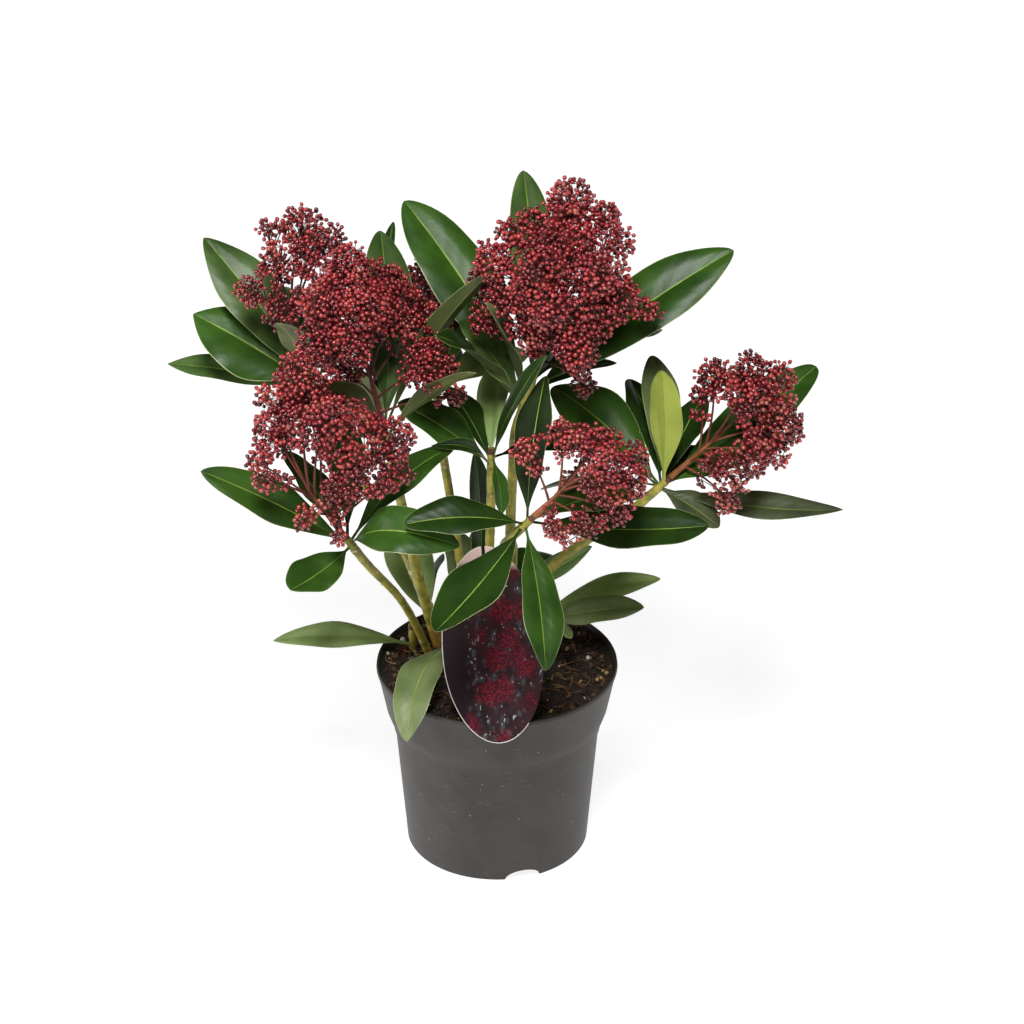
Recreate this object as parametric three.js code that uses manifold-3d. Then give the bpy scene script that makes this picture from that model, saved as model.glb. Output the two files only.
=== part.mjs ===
// A potted skimmia in bud: a nursery pot filled with soil, eight woody stems, a whorl of leathery leaves at
// the end of each stem, and a branched head of round flower buds above all whorls but one.
// Sizes are in millimetres. +Z is up and -Y is the front. The origin is the middle of the pot's underside.
import * as THREE from "three";
import { mergeVertices } from "three/addons/utils/BufferGeometryUtils.js";
import Module from "manifold-3d";

const wasm = await Module();
wasm.setup();

// Clear space kept between neighbouring parts.
const GAP = 0.3;

// Pot: a round tapering wall with a stepped rim band, on a foot ring and a middle pad.
const POT_HEIGHT = 117;
const RIM_RADIUS = 70;
const BAND_RADIUS = 64.5;
const BAND_FOOT = 90;
const SHOULDER = 76;
const SHOULDER_RADIUS = 59.4;
const BASE_RADIUS = 53;
const WALL = 1.6;
const RECESS = 6.5;
const PAD_RADIUS = 18;
const POT_SIDES = 36;
const NOTCH_COUNT = 3;
const NOTCH_FIRST_AZIMUTH = -73.5;
const NOTCH_HALF_WIDTH = 10.5;
const NOTCH_HEIGHT = 5.8;
const NOTCH_DEPTH = 16;
const DRAIN_COUNT = 6;
const DRAIN_RADIUS = 3.5;
const DRAIN_CIRCLE = 31;
const DRAIN_SIDES = 10;
const CUT_THROUGH = 6;

// Soil: fills the pot to a little under the rim and rises slightly towards the stems.
const SOIL_EDGE = 114.5;
const SOIL_CROWN = 115.5;
const POCKET_DEPTH = 21;

// Label: an egg-shaped plastic tag that leans on the front of the rim.
const LABEL_LENGTH = 112;
const LABEL_WIDEST = 0.45;
const LABEL_WIDTH = 57;
const LABEL_THICKNESS = 0.8;
const LABEL_FOOT = [2.5, -74.9, 108];
const LABEL_LEAN = 28;
const LABEL_TURN = 6;
const LABEL_SLOT = 100;
const LABEL_SLOT_RADIUS = 5;
const LABEL_SLIT = 2;
const LABEL_SIDES = 32;
const SLOT_SIDES = 14;

// Stem: a tapering limb from its pocket in the soil.
const STEM_FOOT_RADIUS = 3.4;
const STEM_COLLAR = 8;
const STEM_STATIONS = 7;
const STEM_SIDES = 6;

// Whorl: leaves leave a twig below its collar, each one a folded blade on a short stalk. On a long twig
// they leave the last part only.
const COLLAR = 4.8;
const TWIG_RADIUS = 2.6;
const LONG_TWIG = 30;
const LEAFY_PART = 0.25;
const TOP_LEAF_DROP = 0.9;
const LEAF_ROOT_DEPTH = 0.6;
const LEAF_THICKNESS = 0.014;
const LEAF_FOLD = 14;
const LEAF_STALK_WIDTH = 2.6;
const LEAF_STATIONS = [0, 0.13, 0.36, 0.62, 0.86, 1];

// Flower head: an axis, one branch to each lobe, and stalked buds spread round each branch's end, where
// they leave the branch's last part and cover the lobe's ball from its pole down.
const AXIS_RADIUS = 1.9;
const BRANCH_RADIUS = 1.3;
const LOWEST_FORK = 2;
const BUD_PART = 0.4;
const BUD_LARGEST = 5.6;
const BUD_STALK = 1;
const BUDS_PER_AREA = 0.033;
const FEWEST_BUDS = 3;
const BUD_SPACING = 1.6;
const BUD_COVER = 1.75;
const BUD_UNEVENNESS = 0.25;
const STALKS_FROM = 0.6;
const STALKS_TO = 0.98;
const FORK_PART = 0.45;
const BRANCH_BOW = 0.1;
const GOLDEN_ANGLE = Math.PI * (3 - Math.sqrt(5));

const FINISHES = {
  pot: { color: 0x544f4b, roughness: 0.7 },
  soil: { color: 0x1e1611, roughness: 1 },
  label: { color: 0x3a1f26, roughness: 0.4 },
  stem: { color: 0x6f7434, roughness: 0.7 },
  leaves: { color: 0x2c4a1c, roughness: 0.4 },
  flowers: { color: 0x8c2a2c, roughness: 0.55 },
};

// Each shoot has a stem (foot, bend and tip), the azimuth and rise of the twig above it, the twig's length,
// its leaves as [azimuth, rise, length, width, roll, arch], and the lobes of its flower head as
// [azimuth, rise, reach, spread]. Angles are in degrees; azimuth 0 points right and 90 points back. Roll
// lifts the blade's right-hand side, and arch bows the blade up by a part of its length.
const SHOOTS = {
  front_left: {
    stem: { foot: [-33, 16], bend: [-54, -11, 163], tip: [-80, -43, 217] },
    lean: [-150, 58],
    twig: 12,
    leaves: [
      [-131, -15, 48, 28, 15, -0.07],
      [-165, 34, 98, 26, 45, 0.05],
      [-25, 10, 71, 30, -40, 0.28],
      [43, 20, 86, 24, -5, 0.11],
      [145, 44, 61, 24, -5, 0.04],
      [98, 27, 96, 26, -20, 0.08],
    ],
    lobes: [
      [150, 76, 95, 19],
      [-177, 61, 76, 15],
      [168, 64, 90, 11],
      [-132, 81, 77, 16],
      [-175, 46, 66, 9],
      [-62, 72, 57, 14],
      [3, 64, 64, 15],
      [-6, 49, 54, 8],
      [-44, 55, 47, 8],
      [-139, 44, 76, 8],
      [-96, 60, 47, 9],
      [-122, 35, 46, 7],
      [-95, 23, 20, 6],
      [105, 60, 75, 15],
    ],
  },
  left: {
    stem: { foot: [-29, 23], bend: [-44, 14, 159], tip: [-62, 2, 261] },
    lean: [150, 75],
    twig: 12,
    leaves: [
      [-136, 45, 67, 24, -35, 0.06],
      [-35, 40, 84, 15, 35, 0.08],
      [126, 33, 40, 26, -90, 0.04],
      [92, 44, 119, 36, -30, 0.05],
      [88, 35, 134, 24, 45, 0.04],
      [1, 58, 113, 17, 60, 0.08],
    ],
    lobes: [
      [158, 79, 95, 14],
      [71, 78, 81, 12],
      [-165, 67, 83, 15],
      [-112, 76, 81, 14],
      [41, 59, 63, 12],
      [-167, 53, 65, 11],
      [-119, 64, 62, 11],
      [-17, 51, 48, 16],
      [88, 52, 75, 15],
      [-13, 25, 49, 7],
      [172, 57, 32, 11],
    ],
  },
  back_left: {
    stem: { foot: [-28, 31], bend: [-54, 34, 173], tip: [-102, 48, 267] },
    lean: [150, 70],
    twig: 12,
    leaves: [
      [158, -4, 94, 22, 20, 0.04],
      [163, 24, 80, 44, 30, 0.05],
      [144, 41, 105, 36, 20, 0.05],
      [-113, 53, 71, 24, 0, 0.05],
      [101, 9, 94, 30, -25, 0.1],
      [67, -5, 88, 30, 0, 0.1],
    ],
    lobes: [
      [109, 83, 89, 14],
      [-167, 76, 97, 8],
      [-23, 81, 88, 11],
      [-151, 74, 78, 11],
      [-155, 59, 70, 11],
      [-137, 64, 52, 12],
      [92, 65, 70, 11],
      [-55, 68, 72, 12],
    ],
  },
  back: {
    stem: { foot: [-12, 34], bend: [-27, 45, 199], tip: [-34, 55, 257] },
    lean: [100, 75],
    twig: 12,
    leaves: [
      [94, -2, 83, 28, -35, 0.1],
      [108, 9, 94, 28, -15, 0.1],
      [73, 11, 95, 28, 20, 0.08],
      [54, -7, 88, 28, -15, 0.08],
    ],
    lobes: [
      [112, 62, 62, 10],
      [88, 49, 79, 14],
      [70, 34, 66, 14],
      [87, 12, 71, 11],
      [99, 40, 61, 12],
    ],
  },
  centre: {
    stem: { foot: [-4, 8], bend: [-4, 8, 190], tip: [-3, 6, 241] },
    lean: [90, 80],
    twig: 12,
    leaves: [
      [-136, 27, 52, 10, 20, 0.12],
      [169, 28, 61, 28, 20, 0.06],
      [121, 24, 55, 22, -15, 0.05],
      [84, 24, 74, 24, 30, 0.05],
      [-42, 62, 88, 15, -60, 0.05],
      [20, -2, 66, 22, -10, 0.06],
      [-74, -53, 34, 13, 30, 0.06],
    ],
  },
  top: {
    stem: { foot: [9, 18], bend: [9, 18, 230], tip: [14, 22, 269] },
    lean: [0, 72],
    twig: 28,
    leaves: [
      [-146, 34, 80, 22, -50, 0.1],
      [169, 36, 53, 28, 15, 0.06],
      [-130, 56, 75, 16, -10, 0.04],
      [27, -4, 53, 12, -10, 0.12],
      [15, 29, 133, 40, -30, 0.05],
      [139, 39, 126, 40, 20, 0.06],
      [94, 45, 124, 32, -20, 0.06],
      [72, -5, 125, 32, 10, 0.1],
      [50, -7, 116, 32, -10, 0.1],
      [80, -26, 127, 28, -30, 0.1],
    ],
    lobes: [
      [34, 77, 100, 16],
      [19, 66, 98, 10],
      [-125, 88, 92, 11],
      [-27, 73, 90, 13],
      [-137, 67, 84, 14],
      [177, 59, 65, 8],
      [-138, 77, 94, 10],
      [-17, 61, 99, 10],
      [-88, 68, 86, 14],
      [-48, 60, 86, 15],
      [-129, 62, 61, 12],
      [-81, 54, 72, 14],
      [-26, 47, 74, 14],
      [-11, 34, 77, 9],
      [-63, 35, 55, 15],
      [-48, 7, 40, 8],
      [-160, 45, 50, 8],
      [71, 54, 69, 17],
      [47, 31, 61, 15],
    ],
  },
  front: {
    stem: { foot: [4, -2], bend: [9, -9, 198], tip: [14, -58, 238] },
    lean: [-20, 50],
    twig: 12,
    leaves: [
      [-127, -20, 91, 35, 0, -0.04],
      [-82, -45, 86, 27, 25, 0.04],
      [-167, 5, 71, 26, 25, 0.09],
      [79, 55, 81, 26, 30, 0.04],
      [11, -8, 103, 34, -20, -0.05],
      [34, -5, 75, 26, -15, 0.08],
    ],
    lobes: [
      [-168, 82, 41, 10],
      [3, 75, 52, 10],
      [9, 51, 57, 11],
      [1, 34, 66, 10],
      [-33, 45, 63, 11],
      [-45, 40, 54, 8],
      [-20, 27, 65, 9],
      [-28, 15, 54, 8],
      [-72, 13, 32, 7],
      [-59, -5, 34, 5],
      [-44, 11, 43, 7],
      [45, 29, 50, 11],
    ],
  },
  right: {
    stem: { foot: [20, 4], bend: [23, 2, 165], tip: [90, 0, 230] },
    lean: [0, 45],
    twig: 12,
    leaves: [
      [-25, -32, 40, 22, -15, 0.05],
      [-11, -4, 102, 22, -15, -0.06],
      [47, 1, 55, 26, 0, 0.06],
      [154, 19, 73, 24, 0, 0.06],
      [133, -24, 112, 16, 10, 0.04],
      [139, 21, 90, 38, 15, 0.09],
      [104, 20, 81, 30, -25, 0.06],
      [18, 24, 70, 26, -5, 0.0],
      [2, 20, 76, 26, -15, 0.03],
      [68, 20, 69, 23, 5, 0.06],
      [95, 37, 80, 25, -20, 0.05],
      [43, 14, 127, 31, -20, -0.03],
      [-108, 82, 77, 22, 10, 0.03],
      [95, -11, 115, 28, -20, 0.08],
    ],
    lobes: [
      [13, 70, 66, 11],
      [7, 57, 79, 12],
      [9, 43, 85, 11],
      [-12, 19, 63, 10],
      [0, 74, 54, 7],
      [-18, 56, 70, 12],
      [-5, 29, 73, 13],
      [-47, 33, 41, 10],
      [-34, 27, 56, 10],
      [-39, 13, 49, 7],
      [-42, -1, 42, 9],
      [24, 34, 66, 14],
    ],
  },
};

// Low leafy twigs that stand in the soil beside the stems.
const SUCKERS = {
  low_left: {
    foot: [-48, 15],
    lean: [120, 84],
    twig: 37,
    leaves: [
      [-174, -1, 81, 17, 35, 0.12],
    ],
  },
  low_rear: {
    foot: [-38, 44],
    lean: [120, 85],
    twig: 34,
    leaves: [
      [126, 48, 59, 30, 10, 0.04],
      [87, -9, 85, 26, 40, 0.08],
    ],
  },
  low_front: {
    foot: [-27, 3],
    lean: [-90, 85],
    twig: 50,
    leaves: [
      [-109, -24, 81, 27, -10, 0.18],
    ],
  },
  low_back: {
    foot: [-10, 46],
    lean: [90, 80],
    twig: 45,
    leaves: [
      [156, 58, 42, 30, 15, 0.04],
      [-163, 88, 93, 20, 65, 0.04],
      [-4, 26, 73, 18, -25, -0.06],
      [50, -9, 75, 28, -15, 0.08],
      [91, -5, 72, 28, -40, 0.08],
    ],
  },
  low_right: {
    foot: [25, 16],
    lean: [180, 86],
    twig: 52,
    leaves: [
      [-63, 7, 46, 12, 5, 0.1],
      [-14, 10, 66, 20, -30, 0.06],
      [11, 10, 76, 18, -20, 0.08],
      [83, -6, 29, 12, 25, 0.06],
    ],
  },
};

const radians = THREE.MathUtils.degToRad;

// Unit vector at an azimuth and a rise.
function heading(azimuth, rise) {
  const level = Math.cos(radians(rise));
  return new THREE.Vector3(
    level * Math.cos(radians(azimuth)),
    level * Math.sin(radians(azimuth)),
    Math.sin(radians(rise)),
  );
}

// The point reached from a start along a direction.
function from(start, direction, distance) {
  return start.clone().addScaledVector(direction, distance);
}

// A repeatable fraction between 0 and 1 for a whole number.
function scatter(number) {
  const wave = Math.sin(number * 127.1 + 11.7) * 43758.5453;
  return wave - Math.floor(wave);
}

// A unit vector square to a direction.
function squareTo(direction) {
  const aid = Math.abs(direction.z) > 0.9 ? new THREE.Vector3(1, 0, 0) : new THREE.Vector3(0, 0, 1);
  return aid.cross(direction).normalize();
}

// Points evenly round a centre, counted anticlockwise as seen from ahead.
function ring(centre, direction, side, radius, count) {
  const other = direction.clone().cross(side);
  return Array.from({ length: count }, (_, k) => {
    const angle = (2 * Math.PI * k) / count;
    return from(from(centre, side, radius * Math.cos(angle)), other, radius * Math.sin(angle));
  });
}

// Closed solid over rings of points. A ring of one point is a tip, and a longer end ring is capped.
function skin(rings) {
  const faces = [];
  let start = 0;
  for (let i = 1; i < rings.length; i += 1) {
    const [before, after] = [rings[i - 1].length, rings[i].length];
    const next = start + before;
    const sides = Math.max(before, after);
    for (let k = 0; k < sides; k += 1) {
      const turn = (k + 1) % sides;
      if (before > 1) faces.push(start + k, start + turn, after > 1 ? next + turn : next);
      if (after > 1) faces.push(before > 1 ? start + k : start, next + turn, next + k);
    }
    start = next;
  }
  for (let k = 1; k < rings[0].length - 1; k += 1) faces.push(0, k + 1, k);
  for (let k = 1; k < rings[rings.length - 1].length - 1; k += 1) faces.push(start, start + k, start + k + 1);
  const vertProperties = new Float32Array(rings.flat().flatMap((point) => point.toArray()));
  return new wasm.Manifold(new wasm.Mesh({ numProp: 3, vertProperties, triVerts: new Uint32Array(faces) }));
}

// A closed three.js geometry as a solid.
function solidOf(geometry) {
  geometry.deleteAttribute("normal");
  geometry.deleteAttribute("uv");
  const merged = mergeVertices(geometry, 1e-4);
  return new wasm.Manifold(
    new wasm.Mesh({
      numProp: 3,
      vertProperties: merged.getAttribute("position").array,
      triVerts: new Uint32Array(merged.index.array),
    }),
  );
}

// Round solid about the Z axis from [radius, height] steps, closed by flat ends.
function turned(steps) {
  const [first, last] = [steps[0], steps[steps.length - 1]];
  const profile = [[0, first[1]], ...steps, [0, last[1]]].map((step) => new THREE.Vector2(...step));
  return solidOf(new THREE.LatheGeometry(profile, POT_SIDES).rotateX(Math.PI / 2));
}

// Tapering limb along a path. Its last ring can be turned to face a direction.
function limb(path, firstRadius, lastRadius, sides, facing = null) {
  const last = path.length - 1;
  let side = null;
  const rings = path.map((point, i) => {
    const ahead = path[Math.min(i + 1, last)].clone().sub(path[Math.max(i - 1, 0)]).normalize();
    const direction = i === last && facing ? facing : ahead;
    side = side ? side.clone().projectOnPlane(direction).normalize() : squareTo(direction);
    return ring(point, direction, side, THREE.MathUtils.lerp(firstRadius, lastRadius, i / last), sides);
  });
  return skin(rings);
}

// Largest body of several solids fused together, so that sealed hollows are filled and loose scraps dropped.
function fused(solids) {
  const bodies = wasm.Manifold.union(solids).decompose();
  return bodies.reduce((most, body) => (body.volume() > most.volume() ? body : most));
}

function potSolid() {
  const wall = turned([
    [PAD_RADIUS, 0],
    [PAD_RADIUS + 1, RECESS],
    [BASE_RADIUS - WALL - 0.8, RECESS],
    [BASE_RADIUS - WALL - 0.4, 0],
    [BASE_RADIUS - 0.6, 0],
    [BASE_RADIUS, 0.9],
    [SHOULDER_RADIUS, SHOULDER],
    [BAND_RADIUS - 3.8, BAND_FOOT - 9.5],
    [BAND_RADIUS - 1.9, BAND_FOOT - 5.5],
    [BAND_RADIUS, BAND_FOOT],
    [RIM_RADIUS - 1, POT_HEIGHT - 4.5],
    [RIM_RADIUS, POT_HEIGHT - 2],
    [RIM_RADIUS - 0.3, POT_HEIGHT],
    [RIM_RADIUS - WALL, POT_HEIGHT],
    ...innerSteps().reverse(),
  ]);
  return wall.subtract(wasm.Manifold.union([...notches(), ...drains()]));
}

// Inside of the pot from the floor up, as [radius, height] steps.
function innerSteps() {
  return [
    [BASE_RADIUS - WALL - 1, RECESS + WALL],
    [BASE_RADIUS - WALL + 0.6, RECESS + WALL + 2],
    [SHOULDER_RADIUS - WALL, SHOULDER + 0.8],
    [BAND_RADIUS - WALL - 1.9, BAND_FOOT - 5],
    [BAND_RADIUS - WALL, BAND_FOOT + 0.4],
    [RIM_RADIUS - WALL - 1, POT_HEIGHT - 4.3],
  ];
}

// Arched cuts through the foot ring.
function notches() {
  return Array.from({ length: NOTCH_COUNT }, (_, k) => {
    const cutter = new THREE.CylinderGeometry(1, 1, NOTCH_DEPTH, 16).rotateZ(Math.PI / 2);
    cutter.scale(1, NOTCH_HALF_WIDTH, NOTCH_HEIGHT).translate(BASE_RADIUS, 0, 0);
    return solidOf(cutter.rotateZ(radians(NOTCH_FIRST_AZIMUTH + (360 * k) / NOTCH_COUNT)));
  });
}

// Upright holes through the pot's floor.
function drains() {
  return Array.from({ length: DRAIN_COUNT }, (_, k) => {
    const cutter = new THREE.CylinderGeometry(DRAIN_RADIUS, DRAIN_RADIUS, CUT_THROUGH, DRAIN_SIDES);
    cutter.rotateX(Math.PI / 2).translate(DRAIN_CIRCLE, 0, RECESS);
    return solidOf(cutter.rotateZ(radians((360 * k) / DRAIN_COUNT)));
  });
}

// Soil that fills the pot, with a pocket round each foot that stands in it.
function soilSolid(pockets) {
  const lifted = (height) => (height < SHOULDER ? height + GAP : height);
  const steps = innerSteps().map(([radius, height]) => [radius - GAP, lifted(height)]);
  const inside = steps.slice(0, 5);
  const [low, high] = steps.slice(4);
  const part = (SOIL_EDGE - low[1]) / (high[1] - low[1]);
  const edge = THREE.MathUtils.lerp(low[0], high[0], part);
  const top = [
    [edge, SOIL_EDGE],
    [edge * 0.55, SOIL_CROWN - 1],
    [edge * 0.1, SOIL_CROWN],
  ];
  return turned([...inside, ...top]).subtract(wasm.Manifold.union(pockets));
}

// Egg-shaped tag with a round slot near its top that opens through the edge.
function labelSolid() {
  const middle = LABEL_LENGTH * LABEL_WIDEST;
  const outline = Array.from({ length: LABEL_SIDES }, (_, k) => {
    const angle = (2 * Math.PI * k) / LABEL_SIDES;
    const reach = Math.sin(angle) > 0 ? LABEL_LENGTH - middle : middle;
    return new THREE.Vector2((LABEL_WIDTH / 2) * Math.cos(angle), middle + reach * Math.sin(angle));
  });
  const extrusion = { depth: LABEL_THICKNESS, bevelEnabled: false };
  const sheet = new THREE.ExtrudeGeometry(new THREE.Shape(outline), extrusion);
  const slot = new THREE.CylinderGeometry(LABEL_SLOT_RADIUS, LABEL_SLOT_RADIUS, CUT_THROUGH, SLOT_SIDES);
  slot.rotateX(Math.PI / 2).translate(0, LABEL_SLOT, 0);
  const slit = new THREE.BoxGeometry(LABEL_SLIT, LABEL_LENGTH, CUT_THROUGH);
  slit.translate(0, LABEL_SLOT + LABEL_LENGTH / 2, 0);
  const [tag, ...cuts] = [sheet, slot, slit].map((geometry) => {
    geometry.rotateX(radians(90 - LABEL_LEAN)).rotateY(radians(-LABEL_TURN));
    return solidOf(geometry.translate(...LABEL_FOOT));
  });
  return tag.subtract(wasm.Manifold.union(cuts));
}

// Half the width of a leaf at a part of its length: a narrow stalk, a tapering base and a blunter tip.
function halfWidth(part, width) {
  const along = Math.max(0, (part - 0.06) / 0.94) ** 1.15;
  const swell = Math.sin(Math.PI * along) ** (along < 0.5 ? 1 : 0.62);
  return Math.max(LEAF_STALK_WIDTH / 2, (width / 2) * swell);
}

// One leaf from its root to its tip; grown makes it thicker all round.
function leafSolid(root, tip, [azimuth, , length, width, roll, arch], grown) {
  const along = tip.clone().sub(root);
  const level = heading(azimuth - 90, 0);
  const upward = level.clone().cross(along).normalize();
  const turn = radians(roll);
  const side = level.clone().multiplyScalar(Math.cos(turn)).addScaledVector(upward, Math.sin(turn));
  const face = upward.clone().multiplyScalar(Math.cos(turn)).addScaledVector(level, -Math.sin(turn));
  const depth = Math.max(1, (length * LEAF_THICKNESS) / 2 + grown);
  const rings = LEAF_STATIONS.map((part) => {
    const middle = from(from(root, along, part), face, arch * length * 4 * part * (1 - part));
    if (part === 1) return [from(middle, along.clone().normalize(), grown)];
    const half = halfWidth(part, width) + grown;
    const out = half * Math.cos(radians(LEAF_FOLD));
    const lift = half * Math.sin(radians(LEAF_FOLD));
    return [
      from(from(middle, side, out), face, lift),
      from(middle, face, -depth),
      from(from(middle, side, -out), face, lift),
      from(middle, face, depth),
    ];
  });
  return skin(rings);
}

// A three-sided stalk that swells into a bud.
function budSolid(foot, heart, size, grown) {
  const along = heart.clone().sub(foot).normalize();
  const side = squareTo(along);
  const radius = size + grown;
  return skin([
    [foot],
    ring(from(heart, along, -0.9 * radius), along, side, BUD_STALK + grown, 3),
    ring(heart, along, side, radius * 1.1, 3),
    [from(heart, along, radius)],
  ]);
}

// Solids already placed, each with its part's name and its box.
const placed = [];

function place(name, solid) {
  placed.push({ name, solid, box: solid.boundingBox() });
  return solid;
}

// Whether a solid keeps out of every placed solid of other parts.
function isClear(name, solid) {
  const box = solid.boundingBox();
  return placed.every(
    (other) =>
      other.name === name ||
      [0, 1, 2].some((i) => box.min[i] > other.box.max[i] || box.max[i] < other.box.min[i]) ||
      solid.intersect(other.solid).isEmpty(),
  );
}

// Path of a shoot's stem; it meets the twig above it squarely.
function stemPath({ foot, bend, tip }, axis, drop) {
  const end = new THREE.Vector3(...tip);
  const first = new THREE.Vector3(foot[0], foot[1], SOIL_CROWN - POCKET_DEPTH - drop);
  const points = [first, new THREE.Vector3(...bend), from(end, axis, -STEM_COLLAR), end];
  return new THREE.CatmullRomCurve3(points, false, "chordal").getPoints(STEM_STATIONS);
}

function stemSolid(stem, axis, grown) {
  const path = stemPath(stem, axis, grown);
  return limb(path, STEM_FOOT_RADIUS + grown, TWIG_RADIUS + grown, STEM_SIDES, axis);
}

// The twig and leaves of one shoot, lowest leaves first. A leaf that would touch another part is left out.
function leavesSolid(name, { start, axis, twig, leaves }) {
  const wood = limb([start, from(start, axis, twig)], TWIG_RADIUS, AXIS_RADIUS, STEM_SIDES);
  const collar = from(start, axis, twig - COLLAR);
  const leafy = twig < LONG_TWIG ? twig - COLLAR - 1 : LEAFY_PART * twig;
  const parts = [place(name, wood)];
  leaves.forEach((row, i) => {
    const tip = from(collar, heading(row[0], row[1]), row[2]);
    const height = leafy * (i / leaves.length - TOP_LEAF_DROP);
    const root = from(from(collar, axis, height), heading(row[0], 0), TWIG_RADIUS * (1 - LEAF_ROOT_DEPTH));
    if (!isClear(name, leafSolid(root, tip, row, GAP))) return;
    parts.push(place(name, leafSolid(root, tip, row, 0)));
  });
  return fused(parts);
}

// The branch of one lobe, from its fork on the head's axis to the lobe's middle.
function lobeBranch(base, axis, [azimuth, rise, reach]) {
  const middle = from(base, heading(azimuth, rise), reach);
  const height = Math.max(LOWEST_FORK, FORK_PART * middle.clone().sub(base).dot(axis));
  const fork = from(base, axis, height);
  const bow = from(fork.clone().lerp(middle, 0.5), axis, BRANCH_BOW * reach);
  return { height, curve: new THREE.QuadraticBezierCurve3(fork, bow, middle) };
}

// Feet and hearts of a lobe's buds, spread over its ball by the golden angle.
function budPlaces(curve, spread, size, seed) {
  const count = Math.max(FEWEST_BUDS, Math.round(BUDS_PER_AREA * spread * spread));
  const pole = curve.getTangent(1);
  const side = squareTo(pole);
  const other = pole.clone().cross(side);
  return Array.from({ length: count }, (_, k) => {
    const height = 1 - (BUD_COVER * (k + 0.5)) / count;
    const level = Math.sqrt(1 - height * height);
    const angle = GOLDEN_ANGLE * k + 2 * Math.PI * scatter(seed);
    const outward = pole.clone().multiplyScalar(height);
    outward.addScaledVector(side, level * Math.cos(angle)).addScaledVector(other, level * Math.sin(angle));
    const reach = (spread - size) * (1 - BUD_UNEVENNESS * scatter(seed + k));
    const foot = curve.getPoint(THREE.MathUtils.lerp(STALKS_FROM, STALKS_TO, scatter(seed + 3 * k)));
    return [foot, from(curve.getPoint(1), outward, reach)];
  });
}

// A branched head of buds; what would touch another part is left out.
function flowersSolid(name, base, axis, lobes, order) {
  const branches = lobes.map((row) => lobeBranch(base, axis, row));
  const reach = Math.max(...branches.map((branch) => branch.height));
  const stalk = limb([base, from(base, axis, reach)], AXIS_RADIUS, BRANCH_RADIUS, 5);
  const parts = [place(name, stalk)];
  const hearts = [];
  branches.forEach(({ curve }, i) => {
    if (!isClear(name, limb(curve.getPoints(3), BRANCH_RADIUS + GAP, BRANCH_RADIUS + GAP, 4))) return;
    parts.push(place(name, limb(curve.getPoints(3), BRANCH_RADIUS, BUD_STALK, 3)));
    const spread = lobes[i][3];
    const size = Math.min(BUD_LARGEST, BUD_PART * spread);
    budPlaces(curve, spread, size, 100 * order + 7 * i).forEach(([foot, heart]) => {
      if (hearts.some((other) => other.distanceTo(heart) < BUD_SPACING * size)) return;
      if (!isClear(name, budSolid(foot, heart, size, GAP))) return;
      hearts.push(heart);
      parts.push(place(name, budSolid(foot, heart, size, 0)));
    });
  });
  return fused(parts);
}

// A named mesh of a solid in one of the finishes.
function meshOf(name, solid, finish) {
  const { numProp, vertProperties, triVerts } = solid.getMesh();
  const corners = new Float32Array(triVerts.length * 3);
  triVerts.forEach((vertex, i) => {
    corners.set(vertProperties.subarray(vertex * numProp, vertex * numProp + 3), i * 3);
  });
  const geometry = new THREE.BufferGeometry();
  geometry.setAttribute("position", new THREE.BufferAttribute(corners, 3));
  geometry.computeVertexNormals();
  const material = new THREE.MeshStandardMaterial({ metalness: 0, ...FINISHES[finish] });
  const mesh = new THREE.Mesh(geometry, material);
  mesh.name = name;
  return mesh;
}

const skimmia = new THREE.Group();
skimmia.name = "potted_skimmia";
const add = (name, solid, finish) => skimmia.add(meshOf(name, solid, finish));

const shoots = Object.entries(SHOOTS).map(([name, shoot]) => {
  const axis = heading(...shoot.lean);
  const tip = new THREE.Vector3(...shoot.stem.tip);
  return { name, axis, start: from(tip, axis, GAP), ...shoot };
});
const suckers = Object.entries(SUCKERS).map(([name, sucker]) => {
  const start = new THREE.Vector3(...sucker.foot, SOIL_CROWN - POCKET_DEPTH);
  return { name, start, axis: heading(...sucker.lean), ...sucker };
});

const pockets = [
  ...shoots.map(({ stem, axis }) => stemSolid(stem, axis, GAP)),
  ...suckers.map(({ start, axis, twig }) => {
    const path = [from(start, axis, -GAP), from(start, axis, twig)];
    return limb(path, TWIG_RADIUS + GAP, TWIG_RADIUS + GAP, STEM_SIDES);
  }),
];
add("pot", place("pot", potSolid()), "pot");
add("soil", place("soil", soilSolid(pockets)), "soil");
add("plant_label", place("plant_label", labelSolid()), "label");
shoots.forEach(({ name, stem, axis }) => {
  add(`stem_${name}`, place(`stem_${name}`, stemSolid(stem, axis, 0)), "stem");
});
[...shoots, ...suckers].forEach((shoot) => {
  add(`leaves_${shoot.name}`, leavesSolid(`leaves_${shoot.name}`, shoot), "leaves");
});
shoots.forEach(({ name, start, axis, twig, lobes }, order) => {
  if (!lobes) return;
  const base = from(start, axis, twig + GAP);
  add(`flowers_${name}`, flowersSolid(`flowers_${name}`, base, axis, lobes, order), "flowers");
});

export default skimmia;
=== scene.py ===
"""Potted skimmia in flower bud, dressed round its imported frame.

Lengths are in millimetres until a mesh is made, which is in metres. +Z is up and -Y is the front.
"""

import logging
import math
from dataclasses import dataclass, field
from enum import Enum
from typing import Any, Callable, Iterable, Sequence

import bpy
import numpy as np
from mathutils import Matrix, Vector
from mathutils.bvhtree import BVHTree

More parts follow.
